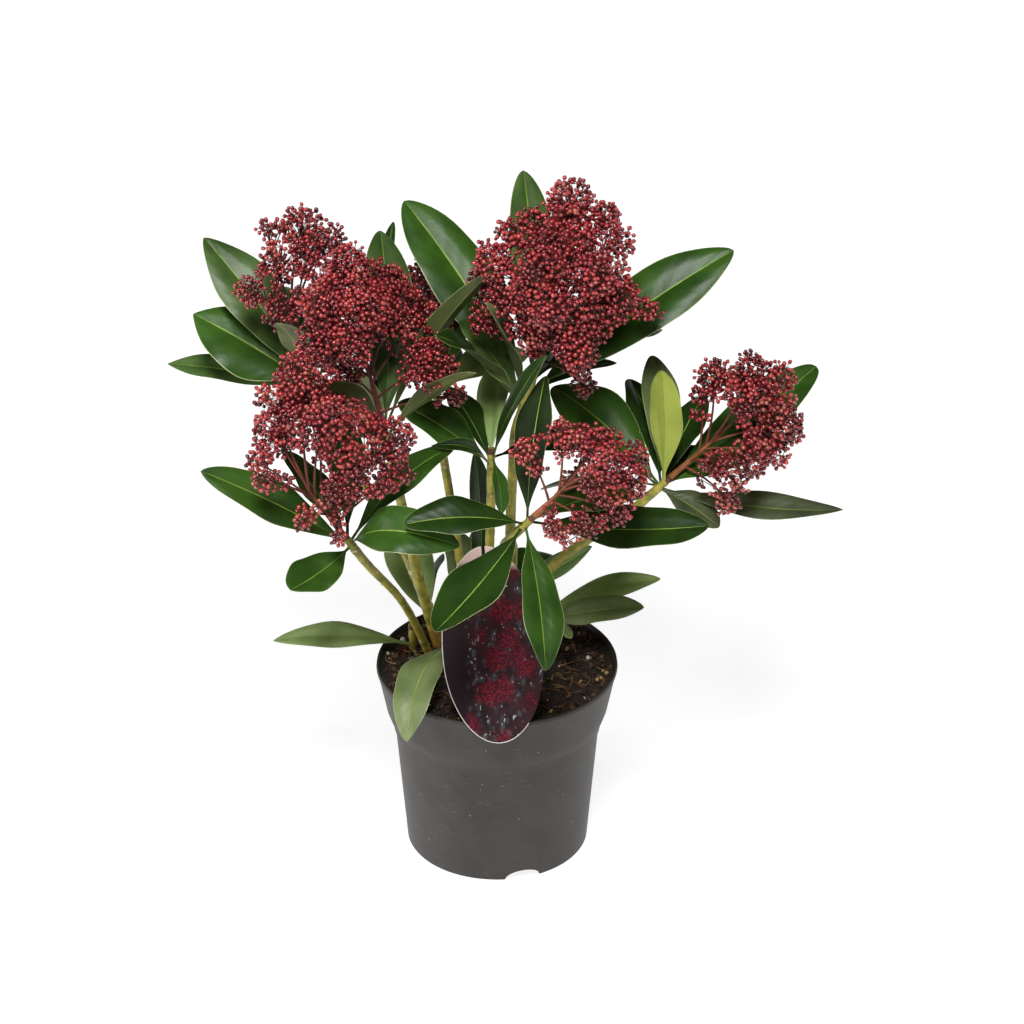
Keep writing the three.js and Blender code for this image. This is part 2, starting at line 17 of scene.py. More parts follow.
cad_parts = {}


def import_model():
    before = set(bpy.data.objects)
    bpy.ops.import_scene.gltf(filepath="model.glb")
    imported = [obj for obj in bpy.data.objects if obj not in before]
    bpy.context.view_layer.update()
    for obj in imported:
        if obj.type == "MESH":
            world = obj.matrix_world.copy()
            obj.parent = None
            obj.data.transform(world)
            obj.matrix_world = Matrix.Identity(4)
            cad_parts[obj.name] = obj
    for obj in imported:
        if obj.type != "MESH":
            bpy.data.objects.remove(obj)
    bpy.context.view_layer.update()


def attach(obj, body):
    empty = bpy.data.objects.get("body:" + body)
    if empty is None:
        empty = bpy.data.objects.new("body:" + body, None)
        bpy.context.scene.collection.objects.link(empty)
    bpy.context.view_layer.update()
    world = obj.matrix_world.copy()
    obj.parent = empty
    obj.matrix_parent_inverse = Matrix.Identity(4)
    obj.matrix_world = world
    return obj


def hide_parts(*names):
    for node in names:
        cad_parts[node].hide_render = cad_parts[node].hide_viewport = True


LOG = logging.getLogger("skimmia")
BODY = "root"
MM = 0.001
GAP = 0.3
GOLDEN_ANGLE = math.pi * (3 - math.sqrt(5))
UP = np.array((0.0, 0.0, 1.0))
RIGHT = np.array((1.0, 0.0, 0.0))
NEARLY_UPRIGHT = 0.9

Triple = tuple[float, float, float]
Colour = Triple
Array = np.ndarray
Random = np.random.Generator
Piece = bpy.types.Object
Node = bpy.types.Node
Socket = bpy.types.NodeSocket

# Each shoot has a stem (foot, bend and tip), the azimuth and rise of the twig above it, the twig's
# length, its leaves as (azimuth, rise, length, width, roll, arch), and the lobes of its flower head
# as (azimuth, rise, reach, spread). Lengths are in millimetres and angles in degrees; azimuth 0
# points right and 90 points back. An arch is a part of the leaf's length.
SHOOTS: dict[str, dict[str, Any]] = {
    "front_left": {
        "stem": ((-33, 16), (-54, -11, 163), (-80, -43, 217)),
        "lean": (-150, 58),
        "twig": 12,
        "leaves": (
            (-131, -15, 48, 28, 15, -0.07), (-165, 34, 98, 26, 45, 0.05),
            (-25, 10, 71, 30, -40, 0.28), (43, 20, 86, 24, -5, 0.11), (145, 44, 61, 24, -5, 0.04),
            (98, 27, 96, 26, -20, 0.08),
        ),
        "lobes": (
            (150, 76, 95, 19), (-177, 61, 76, 15), (168, 64, 90, 11), (-132, 81, 77, 16),
            (-175, 46, 66, 9), (-62, 72, 57, 14), (3, 64, 64, 15), (-6, 49, 54, 8),
            (-44, 55, 47, 8), (-139, 44, 76, 8), (-96, 60, 47, 9), (-122, 35, 46, 7),
            (-95, 23, 20, 6), (105, 60, 75, 15),
        ),
    },
    "left": {
        "stem": ((-29, 23), (-44, 14, 159), (-62, 2, 261)),
        "lean": (150, 75),
        "twig": 12,
        "leaves": (
            (-136, 45, 67, 24, -35, 0.06), (-35, 40, 84, 15, 35, 0.08),
            (126, 33, 40, 26, -90, 0.04), (92, 44, 119, 36, -30, 0.05), (88, 35, 134, 24, 45, 0.04),
            (1, 58, 113, 17, 60, 0.08),
        ),
        "lobes": (
            (158, 79, 95, 14), (71, 78, 81, 12), (-165, 67, 83, 15), (-112, 76, 81, 14),
            (41, 59, 63, 12), (-167, 53, 65, 11), (-119, 64, 62, 11), (-17, 51, 48, 16),
            (88, 52, 75, 15), (-13, 25, 49, 7), (172, 57, 32, 11),
        ),
    },
    "back_left": {
        "stem": ((-28, 31), (-54, 34, 173), (-102, 48, 267)),
        "lean": (150, 70),
        "twig": 12,
        "leaves": (
            (158, -4, 94, 22, 20, 0.04), (163, 24, 80, 44, 30, 0.05), (144, 41, 105, 36, 20, 0.05),
            (-113, 53, 71, 24, 0, 0.05), (101, 9, 94, 30, -25, 0.1), (67, -5, 88, 30, 0, 0.1),
        ),
        "lobes": (
            (109, 83, 89, 14), (-167, 76, 97, 8), (-23, 81, 88, 11), (-151, 74, 78, 11),
            (-155, 59, 70, 11), (-137, 64, 52, 12), (92, 65, 70, 11), (-55, 68, 72, 12),
        ),
    },
    "back": {
        "stem": ((-12, 34), (-27, 45, 199), (-34, 55, 257)),
        "lean": (100, 75),
        "twig": 12,
        "leaves": (
            (94, -2, 83, 28, -35, 0.1), (108, 9, 94, 28, -15, 0.1), (73, 11, 95, 28, 20, 0.08),
            (54, -7, 88, 28, -15, 0.08),
        ),
        "lobes": (
            (112, 62, 62, 10), (88, 49, 79, 14), (70, 34, 66, 14), (87, 12, 71, 11),
            (99, 40, 61, 12),
        ),
    },
    "centre": {
        "stem": ((-4, 8), (-4, 8, 190), (-3, 6, 241)),
        "lean": (90, 80),
        "twig": 12,
        "leaves": (
            (-136, 27, 52, 10, 20, 0.12), (169, 28, 61, 28, 20, 0.06), (121, 24, 55, 22, -15, 0.05),
            (84, 24, 74, 24, 30, 0.05), (-42, 62, 88, 15, -60, 0.05), (20, -2, 66, 22, -10, 0.06),
            (-74, -53, 34, 13, 30, 0.06),
        ),
    },
    "top": {
        "stem": ((9, 18), (9, 18, 230), (14, 22, 269)),
        "lean": (0, 72),
        "twig": 28,
        "leaves": (
            (-146, 34, 80, 22, -50, 0.1), (169, 36, 53, 28, 15, 0.06),
            (-130, 56, 75, 16, -10, 0.04), (27, -4, 53, 12, -10, 0.12),
            (15, 29, 133, 40, -30, 0.05), (139, 39, 126, 40, 20, 0.06),
            (94, 45, 124, 32, -20, 0.06), (72, -5, 125, 32, 10, 0.1), (50, -7, 116, 32, -10, 0.1),
            (80, -26, 127, 28, -30, 0.1),
        ),
        "lobes": (
            (34, 77, 100, 16), (19, 66, 98, 10), (-125, 88, 92, 11), (-27, 73, 90, 13),
            (-137, 67, 84, 14), (177, 59, 65, 8), (-138, 77, 94, 10), (-17, 61, 99, 10),
            (-88, 68, 86, 14), (-48, 60, 86, 15), (-129, 62, 61, 12), (-81, 54, 72, 14),
            (-26, 47, 74, 14), (-11, 34, 77, 9), (-63, 35, 55, 15), (-48, 7, 40, 8),
            (-160, 45, 50, 8), (71, 54, 69, 17), (47, 31, 61, 15),
        ),
    },
    "front": {
        "stem": ((4, -2), (9, -9, 198), (14, -58, 238)),
        "lean": (-20, 50),
        "twig": 12,
        "leaves": (
            (-127, -20, 91, 35, 0, -0.04), (-82, -45, 86, 27, 25, 0.04),
            (-167, 5, 71, 26, 25, 0.09), (79, 55, 81, 26, 30, 0.04), (11, -8, 103, 34, -20, -0.05),
            (34, -5, 75, 26, -15, 0.08),
        ),
        "lobes": (
            (-168, 82, 41, 10), (3, 75, 52, 10), (9, 51, 57, 11), (1, 34, 66, 10),
            (-33, 45, 63, 11), (-45, 40, 54, 8), (-20, 27, 65, 9), (-28, 15, 54, 8),
            (-72, 13, 32, 7), (-59, -5, 34, 5), (-44, 11, 43, 7), (45, 29, 50, 11),
        ),
    },
    "right": {
        "stem": ((20, 4), (23, 2, 165), (90, 0, 230)),
        "lean": (0, 45),
        "twig": 12,
        "leaves": (
            (-25, -32, 40, 22, -15, 0.05), (-11, -4, 102, 22, -15, -0.06), (47, 1, 55, 26, 0, 0.06),
            (154, 19, 73, 24, 0, 0.06), (133, -24, 112, 16, 10, 0.04), (139, 21, 90, 38, 15, 0.09),
            (104, 20, 81, 30, -25, 0.06), (18, 24, 70, 26, -5, 0), (2, 20, 76, 26, -15, 0.03),
            (68, 20, 69, 23, 5, 0.06), (95, 37, 80, 25, -20, 0.05), (43, 14, 127, 31, -20, -0.03),
            (-108, 82, 77, 22, 10, 0.03), (95, -11, 115, 28, -20, 0.08),
        ),
        "lobes": (
            (13, 70, 66, 11), (7, 57, 79, 12), (9, 43, 85, 11), (-12, 19, 63, 10), (0, 74, 54, 7),
            (-18, 56, 70, 12), (-5, 29, 73, 13), (-47, 33, 41, 10), (-34, 27, 56, 10),
            (-39, 13, 49, 7), (-42, -1, 42, 9), (24, 34, 66, 14),
        ),
    },
}

# Low leafy twigs that stand in the soil beside the stems, each with its foot in place of a stem.
SUCKERS: dict[str, dict[str, Any]] = {
    "low_left": {
        "foot": (-48, 15),
        "lean": (120, 84),
        "twig": 37,
        "leaves": (
            (-174, -1, 81, 17, 35, 0.12),
        ),
    },
    "low_rear": {
        "foot": (-38, 44),
        "lean": (120, 85),
        "twig": 34,
        "leaves": (
            (126, 48, 59, 30, 10, 0.04), (87, -9, 85, 26, 40, 0.08),
        ),
    },
    "low_front": {
        "foot": (-27, 3),
        "lean": (-90, 85),
        "twig": 50,
        "leaves": (
            (-109, -24, 81, 27, -10, 0.18),
        ),
    },
    "low_back": {
        "foot": (-10, 46),
        "lean": (90, 80),
        "twig": 45,
        "leaves": (
            (156, 58, 42, 30, 15, 0.04), (-163, 88, 93, 20, 65, 0.04), (-4, 26, 73, 18, -25, -0.06),
            (50, -9, 75, 28, -15, 0.08), (91, -5, 72, 28, -40, 0.08),
        ),
    },
    "low_right": {
        "foot": (25, 16),
        "lean": (180, 86),
        "twig": 52,
        "leaves": (
            (-63, 7, 46, 12, 5, 0.1), (-14, 10, 66, 20, -30, 0.06), (11, 10, 76, 18, -20, 0.08),
            (83, -6, 29, 12, 25, 0.06),
        ),
    },
}


def linear(red: float, green: float, blue: float) -> tuple[float, float, float, float]:
    """Turns a display colour into a shader colour.

    Args:
        red: Red part from 0 to 255.
        green: Green part from 0 to 255.
        blue: Blue part from 0 to 255.

    Returns:
        Linear red, green and blue from 0 to 1, and an alpha of 1.
    """
    parts = (value / 255 for value in (red, green, blue))
    curve = (v / 12.92 if v <= 0.04045 else ((v + 0.055) / 1.055) ** 2.4 for v in parts)
    return (*curve, 1.0)


def unit(vector: Array) -> Array:
    """Returns a vector, or each row of an array of vectors, at length 1."""
    return vector / np.linalg.norm(vector, axis=-1, keepdims=True)


def heading(azimuth: float, rise: float) -> Array:
    """Gives the unit vector at an azimuth and a rise.

    Args:
        azimuth: Degrees from the right towards the back.
        rise: Degrees above level.

    Returns:
        The unit vector.
    """
    turn, lift = math.radians(azimuth), math.radians(rise)
    level = math.cos(lift)
    return np.array((level * math.cos(turn), level * math.sin(turn), math.sin(lift)))


def scatter(number: float) -> float:
    """Returns a repeatable fraction between 0 and 1 for a whole number."""
    wave = math.sin(number * 127.1 + 11.7) * 43758.5453
    return wave - math.floor(wave)


def square_to(direction: Array) -> Array:
    """Returns a unit vector square to a direction."""
    aid = RIGHT if abs(direction[2]) > NEARLY_UPRIGHT else UP
    return unit(np.cross(aid, direction))


def flowing_path(points: Sequence[Array], count: int) -> Array:
    """Runs a smooth curve through a few points, spaced by the distances between them.

    Args:
        points: The points to pass through.
        count: How many stretches the path is cut into.

    Returns:
        The path's points, one more than the stretches.
    """
    held = [2 * points[0] - points[1], *points, 2 * points[-1] - points[-2]]
    path = []
    for k in range(count + 1):
        place = (len(points) - 1) * k / count
        first = min(int(place), len(points) - 2)
        part = place - first
        p0, p1, p2, p3 = held[first : first + 4]
        d0, d1, d2 = (np.linalg.norm(b - a) for a, b in ((p0, p1), (p1, p2), (p2, p3)))
        start = ((p1 - p0) / d0 - (p2 - p0) / (d0 + d1) + (p2 - p1) / d1) * d1
        end = ((p2 - p1) / d1 - (p3 - p1) / (d1 + d2) + (p3 - p2) / d2) * d1
        cubic = 2 * p1 - 2 * p2 + start + end
        square = -3 * p1 + 3 * p2 - 2 * start - end
        path.append(p1 + start * part + square * part**2 + cubic * part**3)
    return np.array(path)


def bowed(start: Array, bow: Array, end: Array, parts: Array) -> Array:
    """Gives points of a quadratic curve.

    Args:
        start: The curve's start.
        bow: The control point between.
        end: The curve's end.
        parts: Places along the curve from 0 to 1.

    Returns:
        One point for each place.
    """
    t = np.asarray(parts, float)[:, None]
    return (1 - t) ** 2 * start + 2 * t * (1 - t) * bow + t**2 * end


class LeafTone(Enum):
    """Greens that a leaf blade is dealt."""

    DEEP = 0
    RICH = 1
    FRESH = 2
    YOUNG = 3
    GREY = 4
    SHADED = 5
    MILD = 6
    PALE = 7


class BudTone(Enum):
    """Reds that a spray of buds is dealt."""

    CRIMSON = 0
    WINE = 1
    SCARLET = 2
    ROSE = 3


@dataclass(frozen=True)
class Paint:
    """Adds nodes to a material.

    Args:
        tree: The material's node tree, which holds its shader.
    """

    tree: bpy.types.NodeTree

    NOISE_DETAIL = 3

    @property
    def shader(self) -> Node:
        """The material's shader."""
        return self.tree.nodes["Principled BSDF"]

    @property
    def colour(self) -> Socket:
        """The colour that the shader takes so far."""
        return self.shader.inputs["Base Color"].links[0].from_socket

    def found(self, kind: str) -> Node:
        """Returns the first node of a kind."""
        return next(node for node in self.tree.nodes if node.bl_idname == kind)

    def fill(self, node: Node, inputs: dict[str | int, Any]) -> None:
        """Fills a node's inputs.

        Args:
            node: The node.
            inputs: A value or a socket for each input, by its name or number.
        """
        for name, value in inputs.items():
            if isinstance(value, Socket):
                self.tree.links.new(value, node.inputs[name])
            else:
                node.inputs[name].default_value = value

    def add(self, kind: str, inputs: dict[str | int, Any] | None = None, **settings: str) -> Node:
        """Adds a node.

        Args:
            kind: The node's type.
            inputs: A value or a socket for each input, by its name or number.
            **settings: The node's settings by name.

        Returns:
            The node.
        """
        node = self.tree.nodes.new(kind)
        for name, value in settings.items():
            setattr(node, name, value)
        self.fill(node, inputs or {})
        return node

    def noise(self, place: Socket, size: float) -> Socket:
        """Adds a noise whose features have a size in millimetres, and returns its value."""
        inputs = {"Scale": 1 / (size * MM), "Detail": self.NOISE_DETAIL, "Vector": place}
        return self.add("ShaderNodeTexNoise", inputs).outputs["Fac"]

    def cells(self, place: Socket, size: float) -> Socket:
        """Adds round cells of a size, and returns the distance to the nearest one's middle."""
        inputs = {"Scale": 1 / (size * MM), "Vector": place}
        return self.add("ShaderNodeTexVoronoi", inputs).outputs["Distance"]

    def step(self, value: Socket, low: float, high: float) -> Socket:
        """Adds a ramp from 0, where a value is low, to 1, where it is high."""
        inputs = {"From Min": low, "From Max": high, "Value": value}
        return self.add("ShaderNodeMapRange", inputs).outputs["Result"]

    def patches(self, place: Socket, size: float, low: float, high: float) -> Socket:
        """Adds patches that are cut out of a noise, and returns where they are."""
        return self.step(self.noise(place, size), low, high)

    def spots(self, place: Socket, size: float, low: float, high: float) -> Socket:
        """Adds spots that are cut out of round cells, and returns where they are."""
        return self.step(self.cells(place, size), low, high)

    def blend(self, factor: Socket, low: Colour, high: Colour, ends: Sequence[float]) -> Socket:
        """Adds a ramp between two colours.

        Args:
            factor: The value that drives the ramp.
            low: Display colour at the ramp's start.
            high: Display colour at the ramp's end.
            ends: Where the ramp starts and ends.

        Returns:
            The ramp's colour.
        """
        ramp = self.add("ShaderNodeValToRGB", {"Fac": factor})
        for element, position, colour in zip(ramp.color_ramp.elements, ends, (low, high)):
            element.position = position
            element.color = linear(*colour)
        return ramp.outputs["Color"]

    def overlay(self, under: Socket, over: Colour | Socket, factor: Socket) -> Socket:
        """Adds a colour over another.

        Args:
            under: The colour below.
            over: The colour on top, a display colour or a socket.
            factor: How much of it shows.

        Returns:
            The mixed colour.
        """
        top = linear(*over) if isinstance(over, tuple) else over
        inputs = {"Factor": factor, "A": under, "B": top}
        return self.add("ShaderNodeMix", inputs, data_type="RGBA").outputs["Result"]

    def squeezed(self, place: Socket, turn: Triple, scale: Triple) -> Socket:
        """Turns the coordinates by radians about each axis, and scales them."""
        inputs = {"Rotation": turn, "Scale": scale, "Vector": place}
        return self.add("ShaderNodeMapping", inputs).outputs["Vector"]

    def ruffled(self, place: Socket, size: float, reach: float) -> Socket:
        """Shifts the coordinates by a noise.

        Args:
            place: The coordinates.
            size: The noise's size in millimetres.
            reach: How far it shifts them, in millimetres.

        Returns:
            The shifted coordinates.
        """
        noise = self.noise(place, size).node.outputs["Color"]
        shift = self.add("ShaderNodeVectorMath", {0: noise, "Scale": reach * MM}, operation="SCALE")
        inputs = {0: place, 1: shift.outputs["Vector"]}
        return self.add("ShaderNodeVectorMath", inputs, operation="ADD").outputs["Vector"]

    def sum_of(self, operation: str, *values: Socket | float) -> Socket:
        """Adds a sum of one or two values, each a socket or a number, and returns its value."""
        node = self.add("ShaderNodeMath", dict(enumerate(values)), operation=operation)
        return node.outputs["Value"]

    def emboss(self, height: Socket, depth: float) -> Node:
        """Adds a bump to the shader.

        Args:
            height: The value that raises the surface.
            depth: How far it raises it, in millimetres.

        Returns:
            The bump.
        """
        bump = self.add("ShaderNodeBump", {"Distance": depth * MM, "Height": height})
        self.fill(self.shader, {"Normal": bump.outputs["Normal"]})
        return bump


@dataclass(frozen=True)
class Finish:
    """A surface finish: two colours mixed by a noise, with gloss and a fine relief.

    Args:
        name: The material's name.
        low: Darker display colour.
        high: Lighter display colour.
        roughness: Mean roughness.
        patch: Size of the colour patches in millimetres.
        grain: Size of the fine relief in millimetres.
        relief: Depth of the fine relief in millimetres.
        specular: Specular level.
    """

    name: str
    low: Colour
    high: Colour
    roughness: float
    patch: float
    grain: float = 0.8
    relief: float = 0.02
    specular: float = 0.5

    COLOUR_ENDS = (0.35, 0.65)

    def material(self) -> bpy.types.Material:
        """Returns the material, which is made the first time."""
        made = bpy.data.materials.get(self.name)
        if made:
            return made
        material = bpy.data.materials.new(self.name)
        material.use_nodes = True
        self.dress(Paint(material.node_tree))
        return material

    def dress(self, paint: Paint) -> Socket:
        """Adds this finish's nodes.

        Args:
            paint: The material's paint.

        Returns:
            The object's coordinates.
        """
        place = paint.add("ShaderNodeTexCoord").outputs["Object"]
        patches = paint.noise(place, self.patch)
        inputs = {
            "Roughness": self.roughness,
            "Specular IOR Level": self.specular,
            "Base Color": paint.blend(patches, self.low, self.high, self.COLOUR_ENDS),
        }
        paint.fill(paint.shader, inputs)
        paint.emboss(paint.noise(place, self.grain), self.relief)
        return place


@dataclass(frozen=True)
class BladeFinish(Finish):
    """A leaf blade's upper or lower face, with side veins that leave the midrib at a slant."""

    VEINS = 10
    VEIN_SLANT = 0.22
    VEIN_DEPTH = 0.06
    VEIN_UNEVENNESS = 1.5
    VEIN_DETAIL = 2.5

    def dress(self, paint: Paint) -> Socket:
        """Adds the plain finish and the side veins.

        Args:
            paint: The material's paint.

        Returns:
            The object's coordinates.
        """
        place = super().dress(paint)
        fine = paint.found("ShaderNodeBump").outputs["Normal"]
        blade = paint.add("ShaderNodeUVMap").outputs["UV"]
        parts = paint.add("ShaderNodeSeparateXYZ", {"Vector": blade})
        across = paint.sum_of("ABSOLUTE", parts.outputs["Y"])
        slant = paint.sum_of("MULTIPLY", across, self.VEIN_SLANT)
        along = paint.sum_of("SUBTRACT", parts.outputs["X"], slant)
        inputs = {
            "Scale": self.VEINS / math.tau * 2,
            "Distortion": self.VEIN_UNEVENNESS,
            "Detail Scale": self.VEIN_DETAIL,
            "Vector": paint.add("ShaderNodeCombineXYZ", {"X": along}).outputs["Vector"],
        }
        wave = paint.add("ShaderNodeTexWave", inputs)
        bump = paint.emboss(wave.outputs["Fac"], self.VEIN_DEPTH)
        paint.fill(bump, {"Normal": fine})
        return place


# The rows hold a finish's darker and lighter colour, its roughness, the size of its patches and of
# its fine relief, the relief's depth, and its specular level.
BLADE_FINISHES = {
    tone: BladeFinish(f"blade_{tone.name.lower()}", *row)
    for tone, row in {
        LeafTone.DEEP: ((24, 46, 11), (38, 64, 18), 0.4, 26, 2.2, 0.09, 0.22),
        LeafTone.RICH: ((36, 64, 17), (56, 90, 28), 0.38, 26, 2.2, 0.09, 0.26),
        LeafTone.FRESH: ((90, 106, 64), (116, 130, 84), 0.4, 22, 2.2, 0.09, 0.26),
        LeafTone.YOUNG: ((146, 160, 62), (164, 176, 76), 0.4, 22, 2.2, 0.06, 0.26),
        LeafTone.GREY: ((58, 66, 44), (80, 88, 60), 0.4, 22, 2.2, 0.09, 0.3),
        LeafTone.SHADED: ((20, 33, 12), (32, 48, 19), 0.5, 26, 2.2, 0.09, 0.1),
        LeafTone.MILD: ((56, 80, 36), (80, 106, 54), 0.38, 24, 2.2, 0.09, 0.28),
        LeafTone.PALE: ((114, 136, 78), (140, 162, 100), 0.4, 22, 2.2, 0.09, 0.24),
    }.items()
}
UNDERSIDES = (
    BladeFinish("blade_underside", (86, 94, 50), (112, 116, 66), 0.5, 18, 2.0, 0.06, 0.3),
    # A darker copy of the underside: painted shade for undersides that lie in shade.
    BladeFinish("blade_underside_shaded", (60, 68, 36), (80, 88, 48), 0.5, 18, 2.0, 0.06, 0.22),
)
MIDRIB = Finish("blade_midrib", (108, 136, 50), (138, 164, 66), 0.4, 14)
MARGIN = Finish("blade_margin", (126, 138, 86), (168, 176, 124), 0.45, 14)
BARK = Finish("bark_green", (104, 106, 28), (162, 150, 56), 0.45, 6, 0.9, 0.07)
OLD_BARK = Finish("bark_brown", (128, 98, 34), (172, 138, 60), 0.55, 6, 0.9, 0.09)
NODE = Finish("bark_node", (70, 34, 24), (96, 52, 34), 0.5, 5, 0.9, 0.06)
SCAR = Finish("bark_scar", (168, 150, 104), (196, 178, 130), 0.75, 4, 0.5, 0.05)
STALKS = (
    Finish("stalk_wine", (74, 28, 24), (104, 44, 36), 0.5, 10, 0.5),
    Finish("stalk_brown", (124, 68, 34), (154, 96, 52), 0.5, 10, 0.5),
    Finish("stalk_rust", (98, 46, 28), (124, 64, 42), 0.5, 10, 0.5),
)
# Wine buds are dealt only as painted shade, at a head's foot and deep in its lobes, and scarlet
# buds are dealt more near a head's top as painted light.
BUD_FINISHES = {
    tone: Finish(f"bud_{tone.name.lower()}", low, high, roughness, 3, 0.5, 0.01, 1.0)
    for tone, low, high, roughness in (
        (BudTone.CRIMSON, (121, 21, 28), (151, 35, 44), 0.2),
        (BudTone.WINE, (84, 15, 17), (108, 23, 26), 0.2),
        (BudTone.SCARLET, (154, 40, 44), (182, 60, 58), 0.2),
        (BudTone.ROSE, (156, 64, 56), (182, 90, 74), 0.24),
    )
}


@dataclass
class Heap:
    """Points and faces gathered for one joined mesh.

    Args:
        points: Blocks of points in millimetres.
        faces: Blocks of faces, each with the finishes of its faces.
        across: Blocks of blade places for the points, or of zeros.
        count: How many points there are.
    """

    points: list[Array] = field(default_factory=list)
    faces: list[tuple[Array, Array]] = field(default_factory=list)
    across: list[Array] = field(default_factory=list)
    count: int = 0

    CRISP_ANGLE = 60

    def add(
        self,
        points: Array,
        blocks: Sequence[Array],
        finishes: Sequence[int | Array],
        across: Array | None = None,
    ) -> None:
        """Adds points, and blocks of faces on them.

        Args:
            points: The new points.
            blocks: Blocks of faces that count from the first of these points.
            finishes: For each block one finish for all its faces, or one for each.
            across: Blade places for the points.
        """
        for faces, finish in zip(blocks, finishes):
            dealt = np.broadcast_to(np.asarray(finish), (len(faces),))
            self.faces.append((faces + self.count, dealt))
        self.points.append(points)
        self.across.append(np.zeros((len(points), 2)) if across is None else across)
        self.count += len(points)

    def triangles(self) -> int:
        """Returns how many triangles the faces make."""
        return sum(len(block) * (block.shape[1] - 2) for block, _ in self.faces)

    def polygons(self) -> Iterable[Sequence[int]]:
        """Returns the faces one by one."""
        return (tuple(face) for block, _ in self.faces for face in block.tolist())

    def piece(self, name: str, finishes: Iterable[Finish], angle: float = CRISP_ANGLE) -> Piece:
        """Makes one object of all that was gathered.

        Args:
            name: The object's name.
            finishes: The finishes that the faces' numbers stand for.
            angle: Edges sharper than this many degrees stay crisp.

        Returns:
            The object, in the scene.
        """
        blocks = [block for block, _ in self.faces]
        finish_numbers = np.concatenate([dealt for _, dealt in self.faces])
        corners = np.concatenate([block.ravel() for block in blocks])
        sides = np.concatenate([np.full(len(block), block.shape[1]) for block in blocks])
        starts = np.concatenate(([0], np.cumsum(sides)[:-1]))
        mesh = bpy.data.meshes.new(name)
        mesh.vertices.add(self.count)
        mesh.vertices.foreach_set("co", (np.concatenate(self.points) * MM).ravel())
        mesh.loops.add(len(corners))
        mesh.loops.foreach_set("vertex_index", corners)
        mesh.polygons.add(len(sides))
        mesh.polygons.foreach_set("loop_start", starts)
        mesh.polygons.foreach_set("material_index", finish_numbers)
        places = mesh.uv_layers.new(name="blade")
        places.data.foreach_set("uv", np.concatenate(self.across)[corners].ravel())
        mesh.update(calc_edges=True)
        mesh.validate()
        for finish in finishes:
            mesh.materials.append(finish.material())
        piece = bpy.data.objects.new(name, mesh)
        bpy.context.scene.collection.objects.link(piece)
        Bench.smooth(piece, angle)
        LOG.info("%s: %d triangles", name, self.triangles())
        return piece


class Bench:
    """What every hand-modelled piece needs done to it."""

    SAME_POINT = 1e-6

    @staticmethod
    def only(piece: Piece) -> None:
        """Selects one object and nothing else.

        Args:
            piece: The object.
        """
        bpy.ops.object.select_all(action="DESELECT")
        piece.select_set(True)
        bpy.context.view_layer.objects.active = piece

    @staticmethod
    def smooth(piece: Piece, angle: float) -> None:
        """Shades a piece smooth, apart from edges over an angle in degrees."""
        Bench.only(piece)
        bpy.ops.object.shade_smooth_by_angle(angle=math.radians(angle))

    @staticmethod
    def apply(piece: Piece, kind: str, **settings: Any) -> None:
        """Adds a modifier and applies it.

        Args:
            piece: The object.
            kind: The modifier's type.
            **settings: The modifier's settings by name.
        """
        Bench.only(piece)
        modifier = piece.modifiers.new(kind.lower(), kind)
        for name, value in settings.items():
            setattr(modifier, name, value)
        bpy.ops.object.modifier_apply(modifier=modifier.name)

    @staticmethod
    def pick(piece: Piece, wanted: Callable[[Vector], bool]) -> None:
        """Selects the points of a piece that pass a test, and leaves it in edit mode.

        Args:
            piece: The object, in edit mode.
            wanted: The test, which is given a point in metres.
        """
        bpy.ops.mesh.select_mode(type="VERT")
        bpy.ops.mesh.select_all(action="DESELECT")
        bpy.ops.object.mode_set(mode="OBJECT")
        for point in piece.data.vertices:
            point.select = wanted(point.co)
        bpy.ops.object.mode_set(mode="EDIT")

    @staticmethod
    def turned(name: str, steps: Sequence[tuple[float, float]], sides: int) -> Piece:
        """Makes a round body about the Z axis by extruding a disc from step to step.

        Args:
            name: The object's name.
            steps: Radius and height of each ring, in millimetres.
            sides: Corners of each ring.

        Returns:
            The closed body.
        """
        radius, height = steps[0]
        bpy.ops.mesh.primitive_circle_add(vertices=sides, radius=radius * MM, fill_type="TRIFAN")
        body = bpy.context.object
        body.name = name
        bpy.ops.object.mode_set(mode="EDIT")
        bpy.ops.mesh.select_all(action="SELECT")
        bpy.ops.transform.translate(value=(0, 0, height * MM))
        for next_radius, next_height in steps[1:]:
            rise = (0, 0, (next_height - height) * MM)
            bpy.ops.mesh.extrude_region_move(TRANSFORM_OT_translate={"value": rise})
            part = next_radius / radius
            middle = (0, 0, next_height * MM)
            bpy.ops.transform.resize(value=(part, part, 1), center_override=middle)
            radius, height = next_radius, next_height
        bpy.ops.mesh.select_all(action="SELECT")
        bpy.ops.mesh.remove_doubles(threshold=Bench.SAME_POINT)
        bpy.ops.mesh.normals_make_consistent(inside=False)
        bpy.ops.object.mode_set(mode="OBJECT")
        return body

    @staticmethod
    def carve(piece: Piece, cutter: Piece) -> None:
        """Cuts one object out of another, and deletes the cutter."""
        Bench.apply(piece, "BOOLEAN", operation="DIFFERENCE", solver="EXACT", object=cutter)
        bpy.data.objects.remove(cutter)

    @staticmethod
    def settle(piece: Piece, slot: str, *nodes: str) -> None:
        """Hangs a finished piece on the frame.

        Args:
            piece: The object.
            slot: The record's material slot; not used.
            *nodes: The nodes that it stands for.
        """
        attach(piece, BODY)
        if nodes:
            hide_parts(*nodes)


